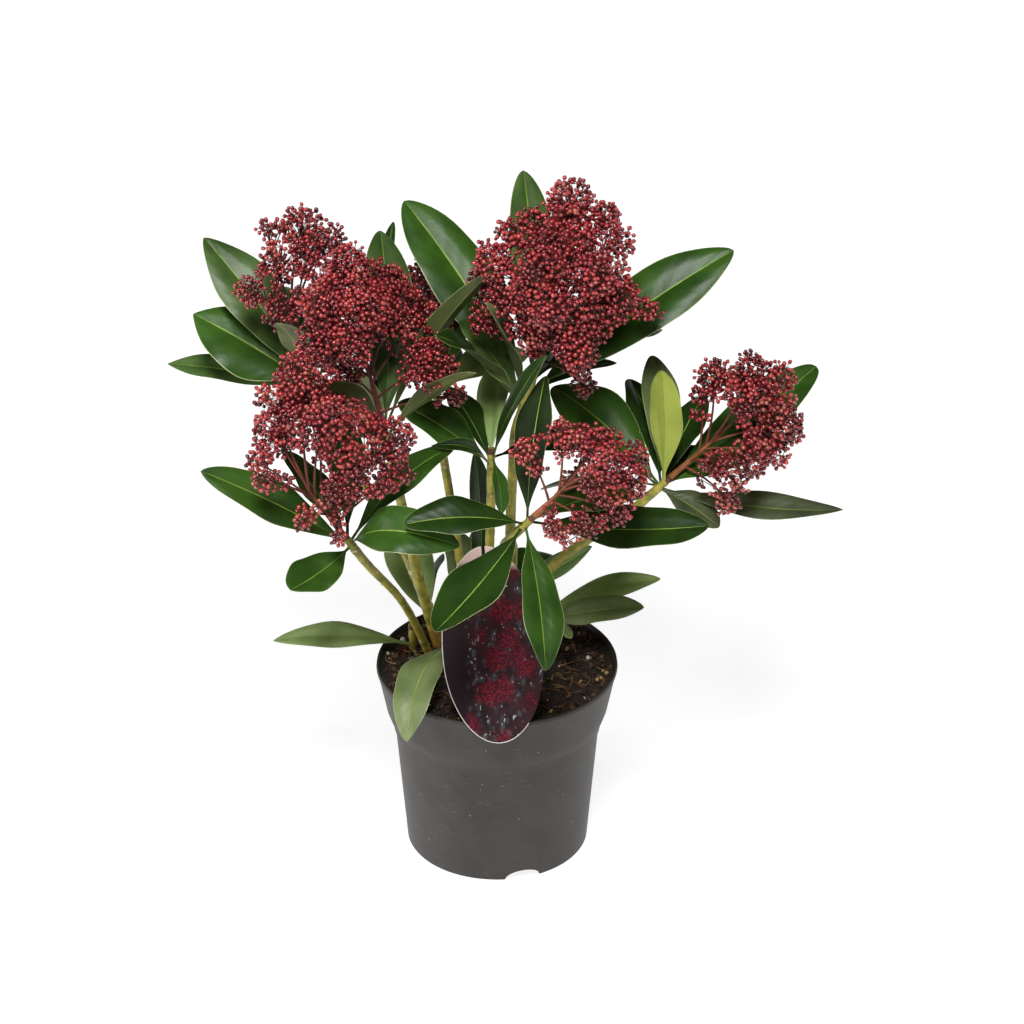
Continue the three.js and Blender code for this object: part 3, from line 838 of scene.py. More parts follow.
def tube(path: Array, radii: Array, sides: int) -> tuple[Array, list[Array]]:
    """Lays rings along a path, and closes both ends.

    Args:
        path: The path's points.
        radii: One radius for each point, or one for each corner of each ring.
        sides: Corners of each ring.

    Returns:
        The points, and the faces as a block of quads and one of triangles.
    """
    ahead = unit(np.gradient(path, axis=0))
    side = square_to(ahead[0])
    turns = 2 * math.pi * np.arange(sides) / sides
    wide = np.broadcast_to(np.asarray(radii, float).reshape(len(path), -1), (len(path), sides))
    rings = []
    for point, direction, reach in zip(path, ahead, wide):
        side = unit(side - direction * (side @ direction))
        other = np.cross(direction, side)
        round_it = np.outer(np.cos(turns), side) + np.outer(np.sin(turns), other)
        rings.append(point + reach[:, None] * round_it)
    points = np.vstack((*rings, path[:1], path[-1:]))
    low = np.arange(sides)
    turn = (low + 1) % sides
    rows = np.arange(len(path) - 1)[:, None] * sides
    corners = (rows + low, rows + turn, rows + turn + sides, rows + low + sides)
    quads = np.stack(corners, -1).reshape(-1, 4)
    top = (len(path) - 1) * sides
    foot = np.stack((np.full(sides, top + sides), turn, low), -1)
    tip = np.stack((np.full(sides, top + sides + 1), top + low, top + turn), -1)
    return points, [quads, np.vstack((foot, tip))]


@dataclass(frozen=True)
class Blade:
    """One leaf of a whorl.

    Args:
        root: Where the leaf leaves its twig.
        tip: The leaf's tip.
        azimuth: The way it points.
        width: Its greatest width.
        roll: Degrees by which its right-hand side is lifted.
        arch: Bow of the blade as a part of its length.
        length: Its length by the rule, from the collar to the tip.
        fold: Degrees by which each half is lifted.
        twist: Degrees by which the tip is turned about the midrib.
        point: How pointed the tip is: 1 tapers evenly and less is rounder.
        seed: What its small unevenness hangs on.
    """

    root: Array
    tip: Array
    azimuth: float
    width: float
    roll: float
    arch: float
    length: float
    fold: float
    twist: float
    point: float
    seed: int

    STATIONS = 30
    EASED_PART = 0.8
    EVEN_PART = 0.2
    PLACES = (-1.0, -0.975, -0.68, -0.36, -0.026, 0.026, 0.36, 0.68, 0.975, 1.0)
    THICKNESS = 0.6
    TOP_THINNING = 0.8
    UNDER_THINNING = 0.6
    STALK_HALF = 0.95
    STALK_PART = 0.06
    STALK_SHARPNESS = 12
    STALK_END = 0.05
    SLENDERNESS = 1.15
    BULGE = 0.1
    MARGIN_DROP = 0.05
    WAVE = 0.1
    WAVES = 1.5
    RIB_WIDTH = 0.06
    RIB_GROOVE = 0.12
    RIB_DEPTH = 0.5
    RIB_SPAN = (0.15, 1.3)

    def half_width(self, part: Array) -> Array:
        """Gives half the blade's width: a narrow stalk, a tapering base and a pointed tip.

        Args:
            part: Places along the leaf from 0 to 1.

        Returns:
            Half the width at each place.
        """
        beyond = (part - self.STALK_PART) / (1 - self.STALK_PART)
        along = np.clip(beyond, 0, 1) ** self.SLENDERNESS
        swell = np.sin(math.pi * along)
        swell = np.where(along < 0.5, swell, np.clip(swell, 0, 1) ** self.point)
        stalk = self.STALK_HALF * np.clip((1 - part) * self.STALK_SHARPNESS, self.STALK_END, 1)
        return np.maximum(stalk, self.width / 2 * swell)

    def add_to(self, heap: Heap, tone: int, underside: int, midrib: int, margin: int) -> None:
        """Adds the leaf's closed skin to a heap.

        Args:
            heap: What the skin is added to.
            tone: Finish number of the upper face.
            underside: Finish number of the lower face.
            midrib: Finish number of the midrib.
            margin: Finish number of the margins.
        """
        even = np.linspace(0, 1, self.STATIONS)
        eased = (1 - np.cos(np.linspace(0, math.pi, self.STATIONS))) / 2
        part = eased * self.EASED_PART + even * self.EVEN_PART
        half = self.half_width(part)
        along = self.tip - self.root
        level = heading(self.azimuth - 90, 0)
        upward = unit(np.cross(level, along))
        roll = math.radians(self.roll)
        turn = np.radians(self.roll + self.twist * part)[:, None]
        side = np.cos(turn) * level + np.sin(turn) * upward
        face = np.cos(turn) * upward - np.sin(turn) * level
        upright = math.cos(roll) * upward - math.sin(roll) * level
        bow = self.arch * self.length * 4 * part * (1 - part)
        middle = self.root + np.outer(part, along) + np.outer(bow, upright)
        lift = math.radians(self.fold)
        places = np.array(self.PLACES)
        waves = part * (self.WAVES + scatter(self.seed)) + scatter(self.seed + 1)
        wave = self.WAVE * np.sin(2 * math.pi * waves)
        rings = []
        for top in (True, False):
            across = places if top else places[-2:0:-1]
            bulge = self.BULGE * np.sin(math.pi * np.abs(across)) - self.MARGIN_DROP * across**4
            height = np.outer(half, np.abs(across) * math.sin(lift) + bulge)
            height = height + np.outer(half * wave, across**2 * np.sign(across))
            rib = np.exp(-((across / self.RIB_WIDTH) ** 2))
            if top:
                skin = self.THICKNESS / 2 * (1 - self.TOP_THINNING * across**2)
                height = height + skin - self.RIB_GROOVE * rib
            else:
                least, most = self.RIB_SPAN
                swollen = np.outer(np.clip(most - part, least, 1), self.RIB_DEPTH * rib)
                skin = self.THICKNESS / 2 * (1 - self.UNDER_THINNING * across**2)
                height = height - skin - swollen
            out = np.outer(half * math.cos(lift), across)[..., None] * side[:, None]
            rings.append(middle[:, None] + out + height[..., None] * face[:, None])
        ring = np.concatenate(rings, axis=1)
        self.close(heap, ring, part, (tone, underside, midrib, margin))

    def close(self, heap: Heap, ring: Array, part: Array, finishes: Sequence[int]) -> None:
        """Skins the leaf's rings, and closes them at the root and the tip.

        Args:
            heap: What the skin is added to.
            ring: Rings of points, stations by corners.
            part: Places along the leaf.
            finishes: Numbers of the upper, lower, midrib and margin finishes.
        """
        tone, underside, midrib, margin = finishes
        stations, corners = ring.shape[:2]
        halves = ([margin, *[face] * 3, midrib, *[face] * 3, margin] for face in (tone, underside))
        dealt = np.tile(np.concatenate(list(halves)), stations - 1)
        low = np.arange(corners)
        turn = (low + 1) % corners
        rows = np.arange(stations - 1)[:, None] * corners
        sides = (rows + low, rows + low + corners, rows + turn + corners, rows + turn)
        quads = np.stack(sides, -1).reshape(-1, 4)
        over = np.array([*self.PLACES, *self.PLACES[-2:0:-1]])
        place = np.stack(np.broadcast_arrays(part[:, None], over), -1).reshape(-1, 2)
        places = np.vstack((place, ((0, 0), (1, 0))))
        points = np.vstack((ring.reshape(-1, 3), ring[0].mean(0), ring[-1].mean(0)))
        top = (stations - 1) * corners
        foot = np.stack((np.full(corners, top + corners), low, turn), -1)
        tip = np.stack((np.full(corners, top + corners + 1), top + turn, top + low), -1)
        heap.add(points, (quads, np.vstack((foot, tip))), (dealt, midrib), places)


@dataclass
class Shoot:
    """One shoot: its stem, its whorl of leaves and its flower head.

    Args:
        name: The shoot's name.
        lean: Azimuth and rise of the twig.
        twig: Length of the twig.
        leaves: Rows of leaves, lowest first.
        stem: Foot, bend and tip of the stem.
        foot: Foot of a sucker, which has no stem.
        lobes: Rows of the flower head's lobes.
        order: The shoot's place in the list, on which its small unevenness hangs.
    """

    name: str
    lean: tuple[float, float]
    twig: float
    leaves: Sequence[tuple[float, ...]]
    stem: tuple[tuple[float, ...], ...] = ()
    foot: tuple[float, float] = (0, 0)
    lobes: Sequence[tuple[float, ...]] = ()
    order: int = 0

    COLLAR = 4.8
    TWIG_RADIUS = 2.6
    AXIS_RADIUS = 1.9
    LONG_TWIG = 30
    LEAFY_PART = 0.25
    TOP_LEAF_DROP = 0.9
    LEAF_ROOT_DEPTH = 0.6
    SUCKER_FOOT = 94.5
    STEM_FOOT_RADIUS = 3.4
    STEM_COLLAR = 8

    @property
    def axis(self) -> Array:
        """The direction of the twig."""
        return heading(*self.lean)

    @property
    def start(self) -> Array:
        """The twig's lower end."""
        if self.stem:
            return np.array(self.stem[2], float) + self.axis * GAP
        return np.array((*self.foot, self.SUCKER_FOOT), float)

    @property
    def top(self) -> Array:
        """The foot of the flower head."""
        return self.start + self.axis * (self.twig + GAP)

    def blades(self) -> list[Blade]:
        """Returns the whorl's leaves, placed as the rule says."""
        collar = self.start + self.axis * (self.twig - self.COLLAR)
        leafy = self.LEAFY_PART * self.twig
        if self.twig < self.LONG_TWIG:
            leafy = self.twig - self.COLLAR - 1
        made = []
        for i, (azimuth, rise, length, width, roll, arch) in enumerate(self.leaves):
            height = leafy * (i / len(self.leaves) - self.TOP_LEAF_DROP)
            out = heading(azimuth, 0) * self.TWIG_RADIUS * (1 - self.LEAF_ROOT_DEPTH)
            root = collar + self.axis * height + out
            tip = collar + heading(azimuth, rise) * length
            curl = LEAF_CURLS.get((self.name, i), COMMON_CURL)
            point = LEAF_POINTS.get((self.name, i), COMMON_POINT)
            seed = 31 * self.order + 7 * i
            made.append(Blade(root, tip, azimuth, width, roll, arch, length, *curl, point, seed))
        return made


# The girth of the stems that aren't of full girth, as a part of it.
STEM_GIRTHS = {"front_left": 0.74, "back": 0.85, "centre": 0.9}

# Mean distance between sprays, in millimetres, and that of the heads that are denser.
COMMON_SPRAY_GAP = 5.6
SPRAY_GAPS = {
    "front_left": 5.5,
    "left": 4.4,
    "back_left": 5.5,
    "top": 5.1,
    "front": 5.2,
    "right": 5.2,
}

# Small lobes that fill a head between those of its rows.
FILLING_LOBES: dict[str, tuple[tuple[float, ...], ...]] = {
    "left": ((11, 84, 61, 10),),
    "front_left": ((-92, 67, 30, 8),),
    "top": ((-117, 55, 42, 9), (-97, 48, 35, 9)),
}

# Heads with brown stalks and more rose-coloured buds.
WARM_HEADS = ("front_left", "front", "right")

# Numbers of the finishes of a head's axis and branches, and those of the warm heads.
COMMON_WOODS = (0, 0)
HEAD_WOODS = {"front_left": (2, 0), "front": (1, 2), "right": (1, 2)}

# Fold and twist of a leaf, in degrees, and those of the leaves that are flatter or curl more.
COMMON_CURL = (14.0, 0.0)
LEAF_CURLS: dict[tuple[str, int], tuple[float, float]] = {
    ("centre", 0): (38.0, 60.0),
    ("left", 5): (40.0, 30.0),
    ("top", 0): (24.0, 95.0),
    ("top", 2): (30.0, 85.0),
    ("top", 4): (8.0, 0.0),
    ("top", 5): (8.0, 0.0),
    ("back_left", 1): (3.0, 0.0),
    ("back_left", 2): (10.0, 0.0),
}

# How pointed a leaf's tip is, and those that are rounder or sharper.
COMMON_POINT = 0.62
LEAF_POINTS: dict[tuple[str, int], float] = {
    ("front_left", 0): 0.52,
    ("front", 2): 0.52,
    ("right", 1): 0.8,
    ("right", 10): 0.54,
    ("right", 11): 0.5,
    ("back_left", 0): 0.8,
    ("back_left", 1): 0.86,
    ("back_left", 2): 0.74,
    ("low_left", 0): 0.8,
    ("low_right", 0): 0.5,
}

# Greens of the leaves that aren't rich green. Many are the leaves' own tones, but some leaves that
# lie in shade, such as the low right ones and the back's and the centre's fourth leaves, are dealt
# paler greens as painted light, and the SHADED greens are painted shade.
LEAF_TONES: dict[tuple[str, int], LeafTone] = {
    (name, i): tone
    for tone, whorls in {
        LeafTone.DEEP: {
            "left": (4,), "centre": (0, 2, 4), "top": (0,), "front": (0, 2, 4), "right": (3, 6, 9),
            "low_back": (1,),
        },
        LeafTone.FRESH: {
            "top": (2,), "right": (10,), "low_front": (0,), "low_back": (0,), "low_right": (0, 1),
        },
        LeafTone.YOUNG: {"right": (12,)},
        LeafTone.GREY: {"right": (0, 1)},
        LeafTone.SHADED: {"centre": (5,), "front": (3,), "right": (2,), "low_rear": (1,)},
        LeafTone.MILD: {"left": (3,), "back_left": (0, 2), "top": (1, 6), "low_back": (2,)},
        LeafTone.PALE: {
            "back": (3,), "centre": (3,), "low_left": (0,), "low_rear": (0,), "low_right": (2,),
        },
    }.items()
    for name, numbers in whorls.items()
    for i in numbers
}

# Leaves whose underside is in shade, and so gets the darker underside as painted shade.
SHADED_UNDERSIDES = (("top", 0), ("top", 2), ("left", 5), ("left", 0))


@dataclass
class Foliage:
    """The leaves and the twig of one whorl."""

    shoot: Shoot

    CRISP_ANGLE = 55
    TWIG_SIDES = 14
    TWIG_STATIONS = 24
    NODE_LENGTH = 4.0
    SWELLING = 0.1
    SWELLINGS = 1.1

    def blades_piece(self, heap: Heap) -> None:
        """Makes the whorl's leaves, joined.

        Args:
            heap: An empty heap, which keeps the leaves' faces.
        """
        name = self.shoot.name
        finishes = [*BLADE_FINISHES.values(), *UNDERSIDES, MIDRIB, MARGIN]
        midrib, margin = finishes.index(MIDRIB), finishes.index(MARGIN)
        for i, blade in enumerate(self.shoot.blades()):
            tone = LEAF_TONES.get((name, i), LeafTone.RICH)
            # Undersides in shade take the darker underside finish, which is painted shade.
            underside_in_shade = (name, i) in SHADED_UNDERSIDES
            under = tone.value if tone == LeafTone.YOUNG else len(LeafTone) + underside_in_shade
            blade.add_to(heap, tone.value, under, midrib, margin)
        piece = heap.piece(f"blades_{name}", finishes, self.CRISP_ANGLE)
        Bench.settle(piece, "leaves", f"leaves_{name}")

    def twig_piece(self) -> None:
        """Makes the whorl's twig, with a swelling here and there and a dark node on top."""
        shoot = self.shoot
        along = np.linspace(0, 1, self.TWIG_STATIONS)
        path = shoot.start + np.outer(along * shoot.twig, shoot.axis)
        radii = shoot.TWIG_RADIUS + (shoot.AXIS_RADIUS - shoot.TWIG_RADIUS) * along
        radii = radii * (1 + self.SWELLING * np.sin(along * shoot.twig * self.SWELLINGS))
        points, blocks = tube(path, radii, self.TWIG_SIDES)
        node = along[:-1] * shoot.twig > shoot.twig - self.NODE_LENGTH
        heap = Heap()
        heap.add(points, blocks, (np.repeat(node.astype(int), self.TWIG_SIDES), 0))
        piece = heap.piece(f"twig_{shoot.name}", (BARK, NODE))
        Bench.settle(piece, "stems", f"leaves_{shoot.name}")


@dataclass
class Stem:
    """A woody stem with the bark's ridges and the scars of fallen leaves."""

    shoot: Shoot

    STATIONS = 90
    SIDES = 28
    SOIL_CROWN = 115.5
    POCKET_DEPTH = 21
    RIDGE = 0.035
    RIDGES = 5
    FINE_RIDGE = 0.02
    FINE_RIDGES = 11
    RIDGE_SLANT = 0.5
    RIPPLE = 0.02
    RIPPLES = 0.9
    OLD_PART = 0.22
    SCAR_STEP = 13.0
    SCAR_SHIFTS = (0.6, 0.5)
    SCAR_HEIGHT = 0.4
    SCAR_LENGTH = 1.3
    SCAR_TURN = 0.75
    SCAR_LINE = 0.55
    SCAR_SAG = 0.9
    SCAR_SPAN = 0.8

    def path(self, count: int) -> Array:
        """Gives the stem's middle line.

        Args:
            count: How many stretches it is cut into.

        Returns:
            The line's points.
        """
        foot, bend, tip = (np.array(point, float) for point in self.shoot.stem)
        first = np.array((foot[0], foot[1], self.SOIL_CROWN - self.POCKET_DEPTH))
        collar = tip - self.shoot.axis * self.shoot.STEM_COLLAR
        return flowing_path((first, bend, collar, tip), count)

    def piece(self) -> None:
        """Makes the stem."""
        shoot = self.shoot
        path = self.path(self.STATIONS)
        steps = np.linalg.norm(np.diff(path, axis=0), axis=1)
        run = np.concatenate(([0], np.cumsum(steps)))
        part = run / run[-1]
        base = shoot.STEM_FOOT_RADIUS + (shoot.TWIG_RADIUS - shoot.STEM_FOOT_RADIUS) * part
        base = base * (1 - (1 - STEM_GIRTHS.get(shoot.name, 1.0)) * (1 - part**4))
        turns = 2 * math.pi * np.arange(self.SIDES) / self.SIDES
        slanted = self.FINE_RIDGES * turns[None] + run[:, None] * self.RIDGE_SLANT
        ridges = self.RIDGE * np.sin(self.RIDGES * turns + 3 * scatter(shoot.order))
        ridges = ridges + self.FINE_RIDGE * np.sin(slanted)
        ripples = self.RIPPLE * np.sin(run * self.RIPPLES)[:, None]
        radii = base[:, None] * (1 + ridges + ripples)
        dealt = np.zeros((self.STATIONS, self.SIDES), int)
        dealt[part[:-1] < self.OLD_PART] = 1
        for k in range(int(run[-1] / self.SCAR_STEP)):
            least, more = self.SCAR_SHIFTS
            centre = (k + least + more * scatter(shoot.order * 50 + k)) * self.SCAR_STEP
            angle = GOLDEN_ANGLE * k + shoot.order
            swing = ((turns - angle + math.pi) % (2 * math.pi) - math.pi)[None]
            far = ((run[:, None] - centre) / self.SCAR_LENGTH) ** 2
            radii = radii + self.SCAR_HEIGHT * np.exp(-far - (swing / self.SCAR_TURN) ** 2)
            sag = self.SCAR_SAG * (swing / self.SCAR_SPAN) ** 2
            line = np.abs(run[:-1, None] - centre - self.SCAR_SAG + sag)
            dealt[(line < self.SCAR_LINE) & (np.abs(swing) < self.SCAR_SPAN)] = 2
        points, blocks = tube(path, radii, self.SIDES)
        heap = Heap()
        heap.add(points, blocks, (dealt.ravel(), 0))
        piece = heap.piece(f"bark_{shoot.name}", (BARK, OLD_BARK, SCAR))
        Bench.settle(piece, "stems", f"stem_{shoot.name}")


class Crowd:
    """Places that are taken, kept in small boxes so that near ones are found quickly."""

    def __init__(self, box: float) -> None:
        """Starts with no place taken.

        Args:
            box: The boxes' size, which no distance that is asked for may pass.
        """
        self.box = box
        self.boxes: dict[tuple[int, int, int], list[Array]] = {}

    def take(self, point: Array, apart: float) -> bool:
        """Takes a place unless another is too near.

        Args:
            point: The place.
            apart: The least distance to another place.

        Returns:
            Whether it was free.
        """
        box = tuple(int(v) for v in np.floor(point / self.box))
        for x in (-1, 0, 1):
            for y in (-1, 0, 1):
                for z in (-1, 0, 1):
                    for other in self.boxes.get((box[0] + x, box[1] + y, box[2] + z), ()):
                        if ((other - point) ** 2).sum() < apart**2:
                            return False
        self.boxes.setdefault(box, []).append(point)
        return True


@dataclass(frozen=True)
class Branch:
    """A branch that carries one lobe of a flower head.

    Args:
        fork: Where it leaves the head's axis.
        bow: Its control point.
        end: Its end, which is the lobe's middle.
        spread: The lobe's radius.
    """

    fork: Array
    bow: Array
    end: Array
    spread: float

    @property
    def way(self) -> Array:
        """The direction in which it ends."""
        return unit(self.end - self.bow)

    def points(self, parts: Sequence[float] | Array) -> Array:
        """Returns its points at places from 0 to 1."""
        return bowed(self.fork, self.bow, self.end, np.asarray(parts))


@dataclass(frozen=True)
class Spray:
    """One small bunch of buds.

    Args:
        node: Where its bud stalks meet.
        way: The direction it faces.
        root: Where its own stalk leaves a branch.
        bow: Control point of its stalk.
        tone: The colour of its buds.
    """

    node: Array
    way: Array
    root: Array
    bow: Array
    tone: int


Candidate = tuple[Array, Array, int]


@dataclass
class FlowerHead:
    """A branched head: branches to lobes, sprays round each lobe, and stalked buds on each spray.

    Args:
        shoot: The shoot that bears it.
        spray_crowd: The places of all heads' sprays.
        bud_crowd: The places of all heads' buds.
        leaves: All leaves, in millimetres.
        spray_gap: Mean distance between its sprays.
        random: Its source of chance.
        branches: Its branches, one for each lobe.
    """

    shoot: Shoot
    spray_crowd: Crowd
    bud_crowd: Crowd
    leaves: BVHTree
    spray_gap: float
    random: Random = field(init=False)
    branches: list[Branch] = field(init=False)

    SEED = 1000
    CRISP_ANGLE = 90

    # The axis and the branches.
    LIMB_STATIONS = 8
    AXIS_SIDES = 10
    FORK_PART = 0.45
    LOWEST_FORK = 2
    BRANCH_SIDES = 8
    BRANCH_RADIUS = 0.8
    BRANCH_END = 0.36
    BRANCH_BOW = 0.1

    # Where sprays are tried: round a lobe, between two lobes, and beside a branch.
    TRIES = 30
    COVER = 1.7
    LEAST_BALL = 0.45
    BALL_SPAN = (0.72, 1.06)
    BRIDGED = 1.75
    BRIDGE_TRIES = 0.35
    BRIDGE_PARTS = (0.2, 0.8)
    BRIDGE_UNEVENNESS = 0.55
    BRIDGE_SPAN = (0.1, 0.7)
    BESIDE_TRIES = 5
    BESIDE_PARTS = (0.35, 0.85)
    BESIDE_UNEVENNESS = 0.6
    BESIDE_REACH = (4, 8)

    # The sprays and their stalks.
    CORE = 0.55
    SPRAY_BOX = 8.0
    SPRAY_DEPTH = 2.6
    SPRAY_GAP_SPAN = (0.9, 1.15)
    STALK_PARTS = (0.55, 0.98)
    STALK_BOW = 0.12
    RAY_SIDES = 4
    RAY_STATIONS = 5
    RAY_RADIUS = 0.36
    RAY_END = 1.3

    # The buds and their stalks.
    LEAF_CLEARANCE = 1.2
    SPRAY_BUDS = (6, 10)
    SPRAY_COVER = 1.15
    SPRAY_UNEVENNESS = 0.16
    SPRAY_REACH = (2.5, 5.2)
    BUD_GAP = 2.2
    BUD_RADIUS = 1.28
    BUD_SPAN = (0.85, 1.15)
    BUD_LEVELS = ((-0.72, 0.66), (-0.1, 1.0), (0.62, 0.74))
    BUD_SIDES = 6
    BUD_TOP = 1.08
    STALK_RADIUS = 0.22
    STALK_FLARE = 1.35
    STALK_SIDES = 3
    STALK_DEPTH = 0.8

    # Shares of the colours: the least, and what the head's top, its foot or a lobe's depth adds.
    # The bright share that grows towards the head's top is painted light, and the dark share at its
    # foot and deep in a lobe is painted shade.
    BRIGHT = (0.12, 0.36)
    ROSY = 0.04
    WARM_ROSY = (0.08, 0.4)
    DARK_FOOT = 0.16
    DARK_DEPTH = 0.8
    MOST = 0.98

    def __post_init__(self) -> None:
        """Seeds the chance and places the branches."""
        self.random = np.random.default_rng(self.SEED + self.shoot.order)
        self.branches = []
        base, axis = self.shoot.top, self.shoot.axis
        lobes = (*self.shoot.lobes, *FILLING_LOBES.get(self.shoot.name, ()))
        for azimuth, rise, reach, spread in lobes:
            end = base + heading(azimuth, rise) * reach
            height = max(self.LOWEST_FORK, self.FORK_PART * ((end - base) @ axis))
            fork = base + axis * height
            bow = (fork + end) / 2 + axis * self.BRANCH_BOW * reach
            self.branches.append(Branch(fork, bow, end, spread))

    def spots(self, pole: Array, count: int, seed: float) -> Array:
        """Spreads directions over part of a ball by the golden angle, from its pole down.

        Args:
            pole: The pole's direction.
            count: How many directions.
            seed: What the first direction's turn hangs on.

        Returns:
            The directions.
        """
        k = np.arange(count)
        height = 1 - self.SPRAY_COVER * (k + 0.5) / count
        level = np.sqrt(1 - height**2)
        angle = GOLDEN_ANGLE * k + 2 * math.pi * scatter(seed)
        side = square_to(pole)
        other = np.cross(pole, side)
        out = np.outer(height, pole) + np.outer(level * np.cos(angle), side)
        return out + np.outer(level * np.sin(angle), other)

    def clear(self, point: Array) -> bool:
        """Returns whether a bud whose middle is at a point keeps off the leaves."""
        return self.leaves.find_nearest(Vector(point), self.LEAF_CLEARANCE)[0] is None

    def sprays(self) -> list[Spray]:
        """Returns the sprays, placed where there is room for them."""
        random = self.random
        middles = np.array([branch.end for branch in self.branches])
        spreads = np.array([branch.spread for branch in self.branches])
        lowest, highest = middles[:, 2].min(), middles[:, 2].max() + 1
        tried = [*self.round_lobes(), *self.between_lobes(), *self.beside_branches()]
        made = []
        for place, way, i in tried:
            apart = np.linalg.norm(middles - place, axis=1)
            gap = self.spray_gap * random.uniform(*self.SPRAY_GAP_SPAN)
            if (apart < self.CORE * spreads).any() or not self.clear(place):
                continue
            if not self.spray_crowd.take(place, gap):
                continue
            branch = self.branches[i]
            root = branch.points([random.uniform(*self.STALK_PARTS)])[0]
            node = place - way * self.SPRAY_DEPTH
            bow = (root + node) / 2 + branch.way * self.STALK_BOW * branch.spread
            height = float(np.clip((place[2] - lowest) / (highest - lowest), 0, 1))
            depth = float(np.clip(1 - (apart / spreads).min(), 0, 1))
            made.append(Spray(node, way, root, bow, self.tone(height, depth)))
        return made

    def round_lobes(self) -> list[Candidate]:
        """Returns chance places round each lobe, with the way a spray faces and its branch."""
        random, made = self.random, []
        for i, branch in enumerate(self.branches):
            count = round(self.TRIES * (branch.spread / self.spray_gap) ** 2)
            ball = max(branch.spread - self.SPRAY_DEPTH, self.LEAST_BALL * branch.spread)
            for way in unit(random.normal(size=(count, 3))):
                if way @ branch.way > 1 - self.COVER:
                    place = branch.end + way * ball * random.uniform(*self.BALL_SPAN)
                    made.append((place, way, i))
        return made

    def between_lobes(self) -> list[Candidate]:
        """Returns chance places between lobes that are near each other."""
        random, made = self.random, []
        for i, first in enumerate(self.branches):
            for j, second in enumerate(self.branches[:i]):
                across = second.end - first.end
                apart = np.linalg.norm(across)
                if apart > self.BRIDGED * (first.spread + second.spread):
                    continue
                narrow = min(first.spread, second.spread)
                tries = self.BRIDGE_TRIES * self.TRIES * apart * narrow / self.spray_gap**2
                for _ in range(round(tries)):
                    part = random.uniform(*self.BRIDGE_PARTS)
                    core = first.end + across * part
                    uneven = random.normal(0, self.BRIDGE_UNEVENNESS, 3)
                    way = unit(unit(core - self.shoot.top) + uneven)
                    place = core + way * narrow * random.uniform(*self.BRIDGE_SPAN)
                    made.append((place, way, i if part < 0.5 else j))
        return made

    def beside_branches(self) -> list[Candidate]:
        """Returns chance places beside each branch."""
        random, made = self.random, []
        for i, branch in enumerate(self.branches):
            parts = random.uniform(*self.BESIDE_PARTS, self.BESIDE_TRIES)
            for point in branch.points(parts):
                way = unit(branch.way + random.normal(0, self.BESIDE_UNEVENNESS, 3))
                made.append((point + way * random.uniform(*self.BESIDE_REACH), way, i))
        return made

    def tone(self, height: float, depth: float) -> int:
        """Deals a colour: brighter near the head's top and darker deep in it, as painted light and
        shade.

        Args:
            height: The spray's place in the head, from 0 to 1.
            depth: How deep in its lobe it is, from 0 to 1.

        Returns:
            The colour's number.
        """
        least, more = self.BRIGHT
        bright = least + more * height**2
        rosy = self.ROSY
        if self.shoot.name in WARM_HEADS:
            least, more = self.WARM_ROSY
            rosy = least + more * (1 - height) ** 3
        dark = self.DARK_FOOT * (1 - height) + self.DARK_DEPTH * depth
        dark = min(dark, self.MOST - bright - rosy)
        shares = {
            BudTone.CRIMSON: 1 - bright - dark - rosy,
            BudTone.WINE: dark,
            BudTone.SCARLET: bright,
            BudTone.ROSE: rosy,
        }
        return int(self.random.choice(len(BudTone), p=[shares[tone] for tone in BudTone]))

    def grow(self) -> tuple[Heap, Heap]:
        """Grows the head.

        Returns:
            The buds and the stalks.
        """
        buds, stalks, rows = Heap(), Heap(), []
        self.add_wood(stalks)
        random = self.random
        for spray in self.sprays():
            count = int(random.integers(*self.SPRAY_BUDS))
            ways = self.spots(spray.way, count, random.random() * 99)
            before = len(rows)
            for way in unit(ways + random.normal(0, self.SPRAY_UNEVENNESS, (count, 3))):
                heart = spray.node + way * random.uniform(*self.SPRAY_REACH)
                if self.clear(heart) and self.bud_crowd.take(heart, self.BUD_GAP):
                    size = self.BUD_RADIUS * random.uniform(*self.BUD_SPAN)
                    rows.append((spray.node, heart, size, spray.tone))
            if len(rows) > before:
                parts = np.linspace(0, 1, self.RAY_STATIONS)
                path = bowed(spray.root, spray.bow, spray.node, parts)
                end = self.STALK_RADIUS * self.RAY_END
                self.limb(stalks, path, self.RAY_RADIUS, end, self.RAY_SIDES, 0)
        feet, hearts, sizes, tones = (np.array(column) for column in zip(*rows))
        self.add_buds(buds, stalks, feet, hearts, sizes, tones)
        LOG.info("%s: %d buds", self.shoot.name, len(rows))
        return buds, stalks

    def add_wood(self, stalks: Heap) -> None:
        """Adds the head's axis and its branches.

        Args:
            stalks: Heap of the stalks.
        """
        base, axis = self.shoot.top, self.shoot.axis
        reach = max((branch.fork - base) @ axis for branch in self.branches)
        along = np.linspace(0, 1, self.LIMB_STATIONS)
        wood, finish = HEAD_WOODS.get(self.shoot.name, COMMON_WOODS)
        path = base + axis * reach * along[:, None]
        first = self.shoot.AXIS_RADIUS
        self.limb(stalks, path, first, self.BRANCH_RADIUS, self.AXIS_SIDES, wood)
        first, last = self.BRANCH_RADIUS, self.BRANCH_END
        for branch in self.branches:
            self.limb(stalks, branch.points(along), first, last, self.BRANCH_SIDES, finish)

    @staticmethod
    def limb(heap: Heap, path: Array, first: float, last: float, sides: int, finish: int) -> None:
        """Adds a tapering limb.

        Args:
            heap: What it is added to.
            path: Its middle line.
            first: Radius at the start.
            last: Radius at the end.
            sides: Corners round it.
            finish: The finish's number.
        """
        points, blocks = tube(path, np.linspace(first, last, len(path)), sides)
        heap.add(points, blocks, (finish, finish))

